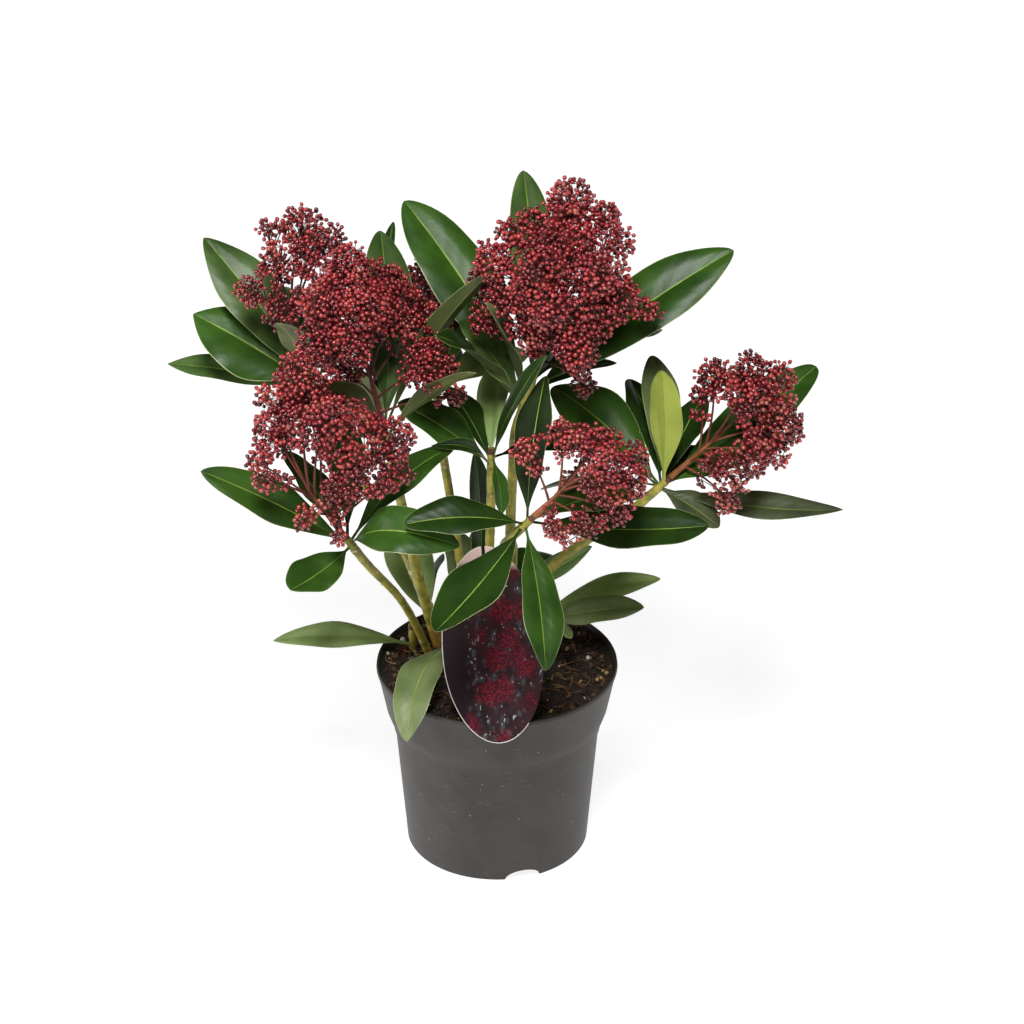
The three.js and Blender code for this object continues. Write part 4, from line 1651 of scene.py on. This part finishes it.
    def add_buds(
        self, buds: Heap, stalks: Heap, feet: Array, hearts: Array, sizes: Array, tones: Array
    ) -> None:
        """Adds all buds and their stalks at once.

        Args:
            buds: Heap of the buds.
            stalks: Heap of the stalks.
            feet: Where the stalks start.
            hearts: The buds' middles.
            sizes: The buds' radii.
            tones: The buds' finishes.
        """
        along = unit(hearts - feet)
        aid = np.where(np.abs(along[:, 2:]) > NEARLY_UPRIGHT, RIGHT, UP)
        side = unit(np.cross(aid, along))
        other = np.cross(along, side)
        shape, blocks = self.bud_shape()
        x, y, z = (shape[None, :, k, None] for k in range(3))
        rings = x * side[:, None] + y * other[:, None] + z * along[:, None]
        points = hearts[:, None] + rings * sizes[:, None, None]
        finishes = [np.repeat(tones, len(block)) for block in blocks]
        faces = self.repeated(blocks, len(hearts), len(shape))
        buds.add(points.reshape(-1, 3), faces, finishes)

        sides = self.STALK_SIDES
        turns = 2 * math.pi * np.arange(sides) / sides
        x, y = np.cos(turns)[None, :, None], np.sin(turns)[None, :, None]
        rings = x * side[:, None] + y * other[:, None]
        neck = hearts - along * (sizes * self.STALK_DEPTH)[:, None]
        low = feet[:, None] + rings * self.STALK_RADIUS
        high = neck[:, None] + rings * (self.STALK_RADIUS * self.STALK_FLARE)
        points = np.concatenate((low, high), axis=1)
        quads = [(k, (k + 1) % sides, (k + 1) % sides + sides, k + sides) for k in range(sides)]
        ends = [range(sides - 1, -1, -1), range(sides, 2 * sides)]
        blocks = (np.array(quads), np.array([tuple(end) for end in ends]))
        faces = self.repeated(blocks, len(hearts), 2 * sides)
        stalks.add(points.reshape(-1, 3), faces, (0, 0))

    @staticmethod
    def repeated(blocks: Sequence[Array], copies: int, size: int) -> list[Array]:
        """Repeats a shape's faces.

        Args:
            blocks: Blocks of the shape's faces.
            copies: How many copies there are.
            size: How many points the shape has.

        Returns:
            The blocks for all copies.
        """
        step = (np.arange(copies) * size)[:, None, None]
        return [(step + block[None]).reshape(-1, block.shape[1]) for block in blocks]

    def bud_shape(self) -> tuple[Array, tuple[Array, Array]]:
        """Returns a bud's points for a radius of 1, and its faces as quads and triangles."""
        sides, levels = self.BUD_SIDES, self.BUD_LEVELS
        points = [(0.0, 0.0, -1.0)]
        for row, (height, width) in enumerate(levels):
            for k in range(sides):
                turn = 2 * math.pi * (k + 0.5 * (row % 2)) / sides
                points.append((width * math.cos(turn), width * math.sin(turn), height))
        points.append((0.0, 0.0, self.BUD_TOP))
        quads = []
        for row in range(len(levels) - 1):
            start = 1 + row * sides
            for k in range(sides):
                turn = (k + 1) % sides
                quads.append((start + k, start + turn, start + turn + sides, start + k + sides))
        last = 1 + (len(levels) - 1) * sides
        ends = [(0, 1 + (k + 1) % sides, 1 + k) for k in range(sides)]
        ends += [(len(points) - 1, last + k, last + (k + 1) % sides) for k in range(sides)]
        return np.array(points), (np.array(quads), np.array(ends))

    def pieces(self) -> None:
        """Makes the head's two pieces."""
        buds, stalks = self.grow()
        name = self.shoot.name
        piece = buds.piece(f"buds_{name}", BUD_FINISHES.values(), self.CRISP_ANGLE)
        Bench.settle(piece, "flower_heads", f"flowers_{name}")
        piece = stalks.piece(f"stalks_{name}", STALKS)
        Bench.settle(piece, "flower_heads", f"flowers_{name}")


@dataclass(frozen=True)
class PotPlastic(Finish):
    """Matte recycled plastic with scuffs and pale dust."""

    dust: Colour = (150, 144, 132)
    scuff: Colour = (112, 108, 102)

    # Each row has the turn, the size and the squeeze of one layer of scuffs.
    SCUFFS = (((0.2, 0.9, 0.3), 7, 16), ((1.3, 0.4, 1.9), 5, 22))

    # Sizes, and the values that give 0 and 1.
    SCUFF_RAMP = (0.66, 0.76)
    SCUFFED_AREAS = (15, 0.48, 0.6)
    SPECKS = (4.5, 0.11, 0.05)
    DUSTY_AREAS = (12, 0.54, 0.66)

    def dress(self, paint: Paint) -> Socket:
        """Adds the plain finish, the scuffs and the dust.

        Args:
            paint: The material's paint.

        Returns:
            The object's coordinates.
        """
        place = super().dress(paint)
        colour = paint.colour
        for turn, size, squeeze in self.SCUFFS:
            squashed = paint.squeezed(place, turn, (1, 1, squeeze))
            streaks = paint.patches(squashed, size, *self.SCUFF_RAMP)
            areas = paint.patches(place, *self.SCUFFED_AREAS)
            marks = paint.sum_of("MULTIPLY", streaks, areas)
            colour = paint.overlay(colour, self.scuff, marks)
        specks = paint.spots(place, *self.SPECKS)
        areas = paint.patches(place, *self.DUSTY_AREAS)
        colour = paint.overlay(colour, self.dust, paint.sum_of("MULTIPLY", specks, areas))
        paint.fill(paint.shader, {"Base Color": colour})
        return place


@dataclass
class Pot:
    """Nursery pot: a round tapering wall with a stepped band, on a foot ring and a middle pad."""

    height: float = 117.0
    rim: float = 70.0
    band: float = 64.5
    band_foot: float = 90.0
    shoulder: float = 76.0
    shoulder_radius: float = 59.4
    base: float = 53.0
    wall: float = 1.6
    recess: float = 6.5
    pad: float = 18.0
    sides: int = 144
    notches: int = 3
    notch: Triple = (8.0, 10.5, 5.8)
    notch_azimuth: float = -73.5
    notch_sides: int = 64
    drains: int = 6
    drain_radius: float = 3.5
    drain_circle: float = 31.0
    drain_depth: float = 6.0
    drain_sides: int = 32
    edge: float = 0.35
    finish: Finish = PotPlastic("pot_plastic", (40, 36, 33), (50, 45, 41), 0.55, 22, 0.6, 0.04)

    SHARP_EDGE = 28
    CRISP_ANGLE = 35

    def inside(self) -> list[tuple[float, float]]:
        """Returns the inside of the pot from the floor up, as radius and height steps."""
        return [
            (self.base - self.wall - 1, self.recess + self.wall),
            (self.base - self.wall + 0.6, self.recess + self.wall + 2),
            (self.shoulder_radius - self.wall, self.shoulder + 0.8),
            (self.band - self.wall - 1.9, self.band_foot - 5),
            (self.band - self.wall, self.band_foot + 0.4),
            (self.rim - self.wall - 1, self.height - 4.3),
        ]

    def outside(self) -> list[tuple[float, float]]:
        """Returns the outside of the pot from the middle pad up to the rim."""
        return [
            (self.pad, 0),
            (self.pad + 1, self.recess),
            (self.base - self.wall - 0.8, self.recess),
            (self.base - self.wall - 0.4, 0),
            (self.base - 0.6, 0),
            (self.base, 0.9),
            (self.shoulder_radius, self.shoulder),
            (self.shoulder_radius + 0.9, self.shoulder + 0.5),
            (self.band - 3.8, self.band_foot - 9.5),
            (self.band - 1.9, self.band_foot - 5.5),
            (self.band, self.band_foot),
            (self.rim - 1, self.height - 4.5),
            (self.rim, self.height - 2),
            (self.rim - 0.3, self.height),
            (self.rim - self.wall, self.height),
        ]

    def cutters(self) -> Piece:
        """Returns the shapes of the foot's arches and the floor's holes, joined."""
        reach, wide, high = self.notch
        size = (2 * reach * MM, wide * MM, high * MM)
        middle = (0, 0, 0)
        bpy.ops.mesh.primitive_cube_add(size=MM, location=(0, 0, -1))
        cutter = bpy.context.object
        bpy.ops.object.transform_apply()
        bpy.ops.object.mode_set(mode="EDIT")
        for k in range(self.notches):
            bpy.ops.mesh.select_all(action="DESELECT")
            bpy.ops.mesh.primitive_cylinder_add(
                vertices=self.notch_sides, radius=1, depth=1, location=middle
            )
            bpy.ops.transform.rotate(value=math.pi / 2, orient_axis="Y", center_override=middle)
            bpy.ops.transform.resize(value=size, center_override=middle)
            bpy.ops.transform.translate(value=(self.base * MM, 0, 0))
            turn = -math.radians(self.notch_azimuth + 360 / self.notches * k)
            bpy.ops.transform.rotate(value=turn, orient_axis="Z", center_override=middle)
        for k in range(self.drains):
            turn = math.radians(360 / self.drains * k)
            x, y = self.drain_circle * math.cos(turn), self.drain_circle * math.sin(turn)
            bpy.ops.mesh.primitive_cylinder_add(
                vertices=self.drain_sides,
                radius=self.drain_radius * MM,
                depth=self.drain_depth * MM,
                location=(x * MM, y * MM, self.recess * MM),
            )
        bpy.ops.object.mode_set(mode="OBJECT")
        return cutter

    def build(self) -> None:
        """Makes the pot."""
        pot = Bench.turned("pot_body", [*self.outside(), *self.inside()[::-1]], self.sides)
        Bench.carve(pot, self.cutters())
        sharp = math.radians(self.SHARP_EDGE)
        edges = {"width": self.edge * MM, "segments": 2}
        Bench.apply(pot, "BEVEL", **edges, limit_method="ANGLE", angle_limit=sharp)
        pot.data.materials.append(self.finish.material())
        Bench.smooth(pot, self.CRISP_ANGLE)
        Bench.settle(pot, "pot", "pot")
        LOG.info("pot_body")


@dataclass
class Soil:
    """Dark potting soil with crumbs, chips, fibres and a few white grains."""

    pot: Pot
    edge: float = 114.5
    crown: float = 115.5
    sides: int = 128
    rings: int = 36
    crumbs: int = 1000
    fibres: int = 230

    SEED = 5
    EARTH = Finish("soil_earth", (18, 13, 9), (48, 35, 23), 0.95, 5, 1.2, 0.6)
    FIBRE = Finish("soil_fibre", (96, 72, 44), (138, 110, 70), 0.7, 3, 0.6, 0.05)
    CHIPS = (
        Finish("soil_chip", (34, 22, 14), (62, 42, 26), 0.9, 3, 0.6, 0.2),
        Finish("soil_bark", (70, 44, 24), (104, 70, 40), 0.85, 3, 0.6, 0.2),
        Finish("soil_straw", (140, 112, 62), (172, 146, 92), 0.8, 3, 0.6, 0.1),
        Finish("soil_grain", (190, 184, 172), (222, 218, 208), 0.8, 3, 0.6, 0.1),
        BUD_FINISHES[BudTone.SCARLET],
    )
    GRAIN = 3

    # Shares of the chips among the strewn crumbs, without fallen buds, and of the fibres' finishes.
    CHIP_SHARES = (0.66, 0.24, 0.06, 0.04)
    FIBRE_SHARES = (0.3, 0.6, 0.1)

    # Crumbs that have their own place: the chip's number, X, Y and the size.
    MARKS = (
        (3, -55.4, 27.2, 1.7), (3, -63.6, 11.5, 1.2), (3, 52.9, 6.1, 1.5), (2, 63.5, -10.4, 1.3),
        (2, 60.1, -16.3, 1.2), (2, 57.7, -18.2, 1.4), (2, 61.4, -8.2, 1.1), (4, -54.0, 14.3, 1.3),
    )

    # A straw that has its own place: its two ends.
    STRAW = ((-53.0, 12.0, 116.4), (-38.5, 11.0, 117.0))
    STRAW_BEND = 0.3
    STRAW_KIND = 2

    # Each layer of unevenness has a name, a size and a depth.
    LAYERS = (("lumps", 9, 3.2), ("grit", 3, 2.2))
    LAYER_MIDDLE = 0.55
    CRISP_ANGLE = 50

    LITTER_RIM = 1.5
    LITTER_CRISP_ANGLE = 40
    CRUMB_SIZES = (0.5, 1.8)
    GRAIN_SIZE = 0.6
    CRUMB_LENGTHS = (0.8, 2.2)
    CRUMB_HEIGHTS = (0.35, 0.9)
    CRUMB_RISES = (-0.4, 0.9)
    MARK_RISE = 0.8
    SEED_CRUMB_DEPTH = 3

    FIBRE_PART = 0.96
    FIBRE_RISE = 1.1
    FIBRE_TILTS = (-3, 9)
    FIBRE_LENGTHS = (3, 13)
    FIBRE_CURLS = (-0.75, 0.75)
    FIBRE_HUMPS = (0, 1.4)
    FIBRE_RADII = (0.28, 0.12)
    FIBRE_STATIONS = 9
    FIBRE_SIDES = 4

    def top_radius(self) -> float:
        """Returns the soil's radius at its edge."""
        low, high = self.pot.inside()[4:]
        part = (self.edge - low[1]) / (high[1] - low[1])
        return low[0] + part * (high[0] - low[0]) - GAP

    def level(self, far: float) -> float:
        """Returns the soil's height at a distance from its middle."""
        return self.edge + (self.crown - self.edge) * (1 - (far / self.top_radius()) ** 2)

    def build(self) -> None:
        """Makes the soil and what lies on it."""
        inside = self.pot.inside()[:5]
        steps = [(r - GAP, h + GAP if h < self.pot.shoulder else h) for r, h in inside]
        reach = self.top_radius()
        rise = self.crown - self.edge
        for k in range(self.rings):
            part = 1 - k / self.rings
            steps.append((reach * part, self.edge + rise * (1 - part**2)))
        earth = Bench.turned("soil_bed", steps, self.sides)
        top = (self.edge + 0.05) * MM
        group = earth.vertex_groups.new(name="top")
        group.add([v.index for v in earth.data.vertices if v.co.z > top], 1, "REPLACE")
        for name, size, depth in self.LAYERS:
            cloud = bpy.data.textures.new(name, "CLOUDS")
            cloud.noise_scale = size * MM
            settings = {"texture": cloud, "strength": depth * MM, "mid_level": self.LAYER_MIDDLE}
            Bench.apply(earth, "DISPLACE", **settings, vertex_group="top")
        earth.data.materials.append(self.EARTH.material())
        Bench.smooth(earth, self.CRISP_ANGLE)
        Bench.settle(earth, "soil", "soil")
        random = np.random.default_rng(self.SEED)
        reach -= self.LITTER_RIM
        self.strew_crumbs(random, reach)
        self.strew_fibres(random, reach)

    def crumb_rows(self, random: Random, reach: float) -> list[tuple[float, ...]]:
        """Deals the crumbs: those that have their own place, and then those of chance.

        Args:
            random: The source of chance.
            reach: The radius within which they lie.

        Returns:
            The chip's number, X, Y and the size of each.
        """
        rows = list(self.MARKS)
        for _ in range(self.crumbs):
            kind = int(random.choice(len(self.CHIP_SHARES), p=self.CHIP_SHARES))
            far, turn = reach * math.sqrt(random.random()), random.uniform(0, math.tau)
            part = self.GRAIN_SIZE if kind == self.GRAIN else 1
            wide = random.uniform(*self.CRUMB_SIZES) * part
            rows.append((kind, far * math.cos(turn), far * math.sin(turn), wide))
        return rows

    def strew_crumbs(self, random: Random, reach: float) -> None:
        """Strews the crumbs, and joins them.

        Args:
            random: The source of chance.
            reach: The radius within which they lie.
        """
        bpy.ops.mesh.primitive_ico_sphere_add(subdivisions=1, radius=MM)
        first = bpy.context.object
        first.name = "soil_litter"
        for chip in self.CHIPS:
            first.data.materials.append(chip.material())
        kinds = []
        for k in range(len(self.CHIPS)):
            crumb = first.data.copy()
            crumb.polygons.foreach_set("material_index", [k] * len(crumb.polygons))
            kinds.append(crumb)
        made = [first]
        for kind, x, y, wide in self.crumb_rows(random, reach):
            marked = len(made) <= len(self.MARKS)
            rise = self.MARK_RISE if marked else random.uniform(*self.CRUMB_RISES)
            height = self.level(math.hypot(x, y)) + rise
            crumb = bpy.data.objects.new("crumb", kinds[kind])
            crumb.location = (x * MM, y * MM, height * MM)
            crumb.rotation_euler = random.uniform(0, math.tau, 3)
            slim = (1, 1, 1)
            if not marked:
                slim = (random.uniform(*self.CRUMB_LENGTHS), 1, random.uniform(*self.CRUMB_HEIGHTS))
            crumb.scale = tuple(wide * part for part in slim)
            bpy.context.scene.collection.objects.link(crumb)
            made.append(crumb)
        Bench.only(first)
        bpy.ops.object.mode_set(mode="EDIT")
        bpy.ops.mesh.select_all(action="SELECT")
        sunk = (self.crown - self.SEED_CRUMB_DEPTH) * MM
        bpy.ops.transform.translate(value=(0, 0, sunk))
        bpy.ops.object.mode_set(mode="OBJECT")
        for crumb in made:
            crumb.select_set(True)
        bpy.ops.object.join()
        Bench.smooth(first, self.LITTER_CRISP_ANGLE)
        Bench.settle(first, "soil", "soil")

    def strew_fibres(self, random: Random, reach: float) -> None:
        """Lays thin fibres on the soil, the first of them in its own place.

        Args:
            random: The source of chance.
            reach: The radius within which they lie.
        """
        heap = Heap()
        parts = np.linspace(0, 1, self.FIBRE_STATIONS)
        radii = np.linspace(*self.FIBRE_RADII, self.FIBRE_STATIONS)
        for k in range(self.fibres):
            far = reach * self.FIBRE_PART * math.sqrt(random.random())
            turn = random.uniform(0, math.tau)
            height = self.level(far) + self.FIBRE_RISE
            start = np.array((far * math.cos(turn), far * math.sin(turn), height))
            way = heading(random.uniform(0, 360), random.uniform(*self.FIBRE_TILTS))
            along = way * random.uniform(*self.FIBRE_LENGTHS)
            curl = np.cross(along, UP) * random.uniform(*self.FIBRE_CURLS)
            curl = curl + UP * random.uniform(*self.FIBRE_HUMPS)
            end = start + along
            if k == 0:
                start, end = (np.array(point) for point in self.STRAW)
                curl = UP * self.STRAW_BEND
            if math.hypot(end[0], end[1]) > reach:
                continue
            path = bowed(start, (start + end) / 2 + curl, end, parts)
            points, blocks = tube(path, radii, self.FIBRE_SIDES)
            kind = self.STRAW_KIND
            if k > 0:
                kind = int(random.choice(len(self.FIBRE_SHARES), p=self.FIBRE_SHARES))
            heap.add(points, blocks, (kind, kind))
        fibres = heap.piece("soil_fibres", (self.CHIPS[1], self.FIBRE, self.CHIPS[2]))
        Bench.settle(fibres, "soil", "soil")


@dataclass(frozen=True)
class LabelPrint(Finish):
    """Glossy print: round heads of red dots among dark leaves with pale glints, and a light top.

    Args:
        dot: Colour of a dot's middle.
        between: Colour between the dots.
        leaf: Colour of the leaves.
        glint: Colour of the glints.
        light: Colour above the picture.
        top: Height at which the picture ends, in millimetres.
        band: X at which the plain band on the left ends, in millimetres.
    """

    dot: Colour = (130, 30, 48)
    between: Colour = (56, 15, 24)
    leaf: Colour = (70, 76, 80)
    glint: Colour = (168, 172, 172)
    light: Colour = (206, 176, 170)
    top: float = 197.0
    band: float = -17.0

    # Sizes, and the values that give 0 and 1.
    LEAFY_AREAS = (7, 0.44, 0.56)
    LEAVES = (4, 0.5, 0.12)
    GLINTS = (2.4, 0.24, 0.12)
    HEADS = (16, 0.56, 0.34)

    LEAF_TURN = (0.3, 0.5, 0.2)
    LEAF_SCALE = (1, 1, 0.42)
    DOT_SIZE = 1.3
    DOT_ENDS = (0.15, 0.6)
    BAND_EDGE = (2, -1)
    TOP_EDGE = (-2, 2)
    RUFFLE = (5, 7)

    def dress(self, paint: Paint) -> Socket:
        """Adds the plain finish and the pattern.

        Args:
            paint: The material's paint.

        Returns:
            The object's coordinates.
        """
        place = super().dress(paint)
        colour = paint.colour
        areas = paint.patches(place, *self.LEAFY_AREAS)
        shards = paint.ruffled(paint.squeezed(place, self.LEAF_TURN, self.LEAF_SCALE), *self.RUFFLE)
        leaves = paint.sum_of("MULTIPLY", paint.spots(shards, *self.LEAVES), areas)
        colour = paint.overlay(colour, self.leaf, leaves)
        glints = paint.sum_of("MULTIPLY", paint.spots(shards, *self.GLINTS), areas)
        colour = paint.overlay(colour, self.glint, glints)
        dots = paint.cells(place, self.DOT_SIZE)
        dots = paint.blend(dots, self.dot, self.between, self.DOT_ENDS)
        heads = paint.spots(paint.ruffled(place, *self.RUFFLE), *self.HEADS)
        colour = paint.overlay(colour, dots, heads)
        where = paint.add("ShaderNodeSeparateXYZ", {"Vector": place}).outputs
        ends = ((self.band + edge) * MM for edge in self.BAND_EDGE)
        colour = paint.overlay(colour, self.low, paint.step(where["X"], *ends))
        ends = ((self.top + edge) * MM for edge in self.TOP_EDGE)
        colour = paint.overlay(colour, self.light, paint.step(where["Z"], *ends))
        paint.fill(paint.shader, {"Base Color": colour})
        return place


@dataclass
class Label:
    """Egg-shaped plastic tag that leans on the pot's rim, with a slot open through its edge."""

    length: float = 112.0
    widest: float = 0.45
    width: float = 57.0
    thickness: float = 0.8
    rim: float = 0.45
    bare_rim: float = 0.3
    foot: Triple = (2.5, -74.9, 108.0)
    lean: float = 28.0
    turn: float = 6.0
    slot: float = 100.0
    slot_radius: float = 5.0
    slit: float = 2.0
    white: Finish = Finish("label_white", (190, 184, 180), (208, 202, 198), 0.4, 20, 0.5, 0.0)
    print: Finish = LabelPrint("label_print", (30, 18, 22), (54, 30, 34), 0.3, 9, 0.5, 0.0)

    SIDES = 128
    SLOT_SIDES = 48
    CUT_DEPTHS = (6, 7)
    CRISP_ANGLE = 30
    ZERO = 1e-7

    def build(self) -> None:
        """Makes the tag flat, and then stands it in its place."""
        tag = self.outline()
        bpy.ops.mesh.select_all(action="SELECT")
        rise = (0, 0, self.thickness * MM)
        bpy.ops.mesh.extrude_region_move(TRANSFORM_OT_translate={"value": rise})
        bpy.ops.mesh.inset(thickness=self.rim * MM)
        bpy.ops.object.mode_set(mode="OBJECT")
        tag.data.materials.append(self.white.material())
        tag.data.materials.append(self.print.material())
        bare = self.width * self.bare_rim * MM
        for face in tag.data.polygons:
            face.material_index = int(face.select or face.center.x > bare)
        Bench.carve(tag, self.cutter())
        self.stand(tag)
        Bench.smooth(tag, self.CRISP_ANGLE)
        Bench.settle(tag, "label", "plant_label")
        LOG.info("label_tag")

    def outline(self) -> Piece:
        """Returns the tag's flat outline, in edit mode."""
        middle = self.length * self.widest
        bpy.ops.mesh.primitive_circle_add(vertices=self.SIDES, radius=MM, fill_type="NGON")
        tag = bpy.context.object
        tag.name = "label_tag"
        bpy.ops.object.mode_set(mode="EDIT")
        Bench.pick(tag, lambda point: point.y > self.ZERO)
        size = (1, self.length - middle, 1)
        bpy.ops.transform.resize(value=size, center_override=(0, 0, 0))
        Bench.pick(tag, lambda point: point.y < -self.ZERO)
        bpy.ops.transform.resize(value=(1, middle, 1), center_override=(0, 0, 0))
        bpy.ops.mesh.select_all(action="SELECT")
        bpy.ops.transform.resize(value=(self.width / 2, 1, 1), center_override=(0, 0, 0))
        bpy.ops.transform.translate(value=(0, middle * MM, 0))
        return tag

    def stand(self, tag: Piece) -> None:
        """Turns the flat tag upright and moves it to its place.

        Args:
            tag: The tag.
        """
        upright = -math.radians(90 - self.lean)
        turn = math.radians(self.turn)
        Bench.only(tag)
        bpy.ops.object.mode_set(mode="EDIT")
        bpy.ops.mesh.select_all(action="SELECT")
        bpy.ops.mesh.normals_make_consistent(inside=False)
        bpy.ops.transform.rotate(value=upright, orient_axis="X", center_override=(0, 0, 0))
        bpy.ops.transform.rotate(value=turn, orient_axis="Y", center_override=(0, 0, 0))
        bpy.ops.transform.translate(value=tuple(v * MM for v in self.foot))
        bpy.ops.object.mode_set(mode="OBJECT")

    def cutter(self) -> Piece:
        """Returns the shape of the slot."""
        slot_depth, slit_depth = self.CUT_DEPTHS
        bpy.ops.mesh.primitive_cylinder_add(
            vertices=self.SLOT_SIDES,
            radius=self.slot_radius * MM,
            depth=slot_depth * MM,
            location=(0, self.slot * MM, 0),
        )
        cutter = bpy.context.object
        place = (0, (self.slot + self.length / 2) * MM, 0)
        bpy.ops.mesh.primitive_cube_add(size=1, location=place)
        slit = bpy.context.object
        slit.scale = (self.slit * MM, self.length * MM, slit_depth * MM)
        Bench.apply(cutter, "BOOLEAN", operation="UNION", solver="EXACT", object=slit)
        bpy.data.objects.remove(slit)
        return cutter


@dataclass
class Studio:
    """Pale floor, soft light and the camera."""

    target: Triple = (8.7, 0.0, 216.0)
    elevation: float = 29.0
    distance: float = 2400.0
    lens: float = 148.32
    sensor: float = 36.0
    clip: tuple[float, float] = (0.1, 100.0)
    floor_size: float = 12.0
    floor_tint: float = 0.35
    floor_roughness: float = 0.9
    floor_glow: float = 0.86
    sky: float = 0.26

    # Each lamp has a name, its place in metres, its side in metres and its power in watts.
    LAMPS = (
        ("key", (-0.1, -1.3, 2.2), 0.7, 58),
        ("left", (-2.5, -0.9, 1.0), 1.2, 38),
        ("right", (1.9, -1.9, 1.3), 1.3, 6),
    )
    LAMP_TARGET = (0, 0, 0.2)

    def build(self) -> None:
        """Sets up the floor, the world, the lamps and the camera."""
        scene = bpy.context.scene
        scene.view_settings.view_transform = "Standard"
        self.floor()
        world = bpy.data.worlds.new("studio")
        world.use_nodes = True
        world.node_tree.nodes["Background"].inputs["Strength"].default_value = self.sky
        scene.world = world
        for row in self.LAMPS:
            self.lamp(*row)
        self.camera()

    def floor(self) -> None:
        """Adds the floor, which glows a little so that it is nearly white."""
        bpy.ops.mesh.primitive_plane_add(size=self.floor_size, location=(0, 0, 0))
        floor = bpy.context.object
        floor.name = "floor"
        material = bpy.data.materials.new("floor_paper")
        material.use_nodes = True
        paint = Paint(material.node_tree)
        inputs = {
            "Base Color": (*[self.floor_tint] * 3, 1),
            "Roughness": self.floor_roughness,
            "Emission Color": (1, 1, 1, 1),
            "Emission Strength": self.floor_glow,
        }
        paint.fill(paint.shader, inputs)
        floor.data.materials.append(material)

    def lamp(self, name: str, place: Triple, size: float, power: float) -> None:
        """Adds a square soft lamp that faces the plant.

        Args:
            name: The lamp's name.
            place: Its place in metres.
            size: Its side in metres.
            power: Its power in watts.
        """
        data = bpy.data.lights.new(name, "AREA")
        data.size, data.energy = size, power
        lamp = bpy.data.objects.new(name, data)
        lamp.location = place
        ahead = Vector(self.LAMP_TARGET) - Vector(place)
        lamp.rotation_euler = ahead.to_track_quat("-Z", "Y").to_euler()
        bpy.context.scene.collection.objects.link(lamp)

    def camera(self) -> None:
        """Adds the camera and makes it the scene's."""
        data = bpy.data.cameras.new("camera")
        data.sensor_width, data.lens = self.sensor, self.lens
        data.clip_start, data.clip_end = self.clip
        tilt = math.radians(self.elevation)
        camera = bpy.data.objects.new("camera", data)
        x, y, z = self.target
        back, up = self.distance * math.cos(tilt), self.distance * math.sin(tilt)
        camera.location = (x * MM, (y - back) * MM, (z + up) * MM)
        camera.rotation_euler = (math.pi / 2 - tilt, 0, 0)
        bpy.context.scene.collection.objects.link(camera)
        bpy.context.scene.camera = camera


def main() -> None:
    """Builds the plant, its pot and the studio round the frame."""
    logging.basicConfig(level=logging.INFO, format="%(message)s")
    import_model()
    Studio().build()
    pot = Pot()
    pot.build()
    Soil(pot).build()
    Label().build()
    rows = {**SHOOTS, **SUCKERS}
    shoots = [Shoot(name, order=i, **row) for i, (name, row) in enumerate(rows.items())]
    for shoot in shoots:
        if shoot.stem:
            Stem(shoot).piece()
    points: list[Vector] = []
    polygons: list[Sequence[int]] = []
    for shoot in shoots:
        heap = Heap()
        foliage = Foliage(shoot)
        foliage.blades_piece(heap)
        foliage.twig_piece()
        polygons.extend(tuple(k + len(points) for k in face) for face in heap.polygons())
        points.extend(Vector(point) for point in np.concatenate(heap.points))
    leaves = BVHTree.FromPolygons(points, polygons)
    spray_crowd = Crowd(FlowerHead.SPRAY_BOX)
    bud_crowd = Crowd(FlowerHead.BUD_GAP)
    for shoot in shoots:
        if shoot.lobes:
            spray_gap = SPRAY_GAPS.get(shoot.name, COMMON_SPRAY_GAP)
            FlowerHead(shoot, spray_crowd, bud_crowd, leaves, spray_gap).pieces()


if __name__ == "__main__":
    main()
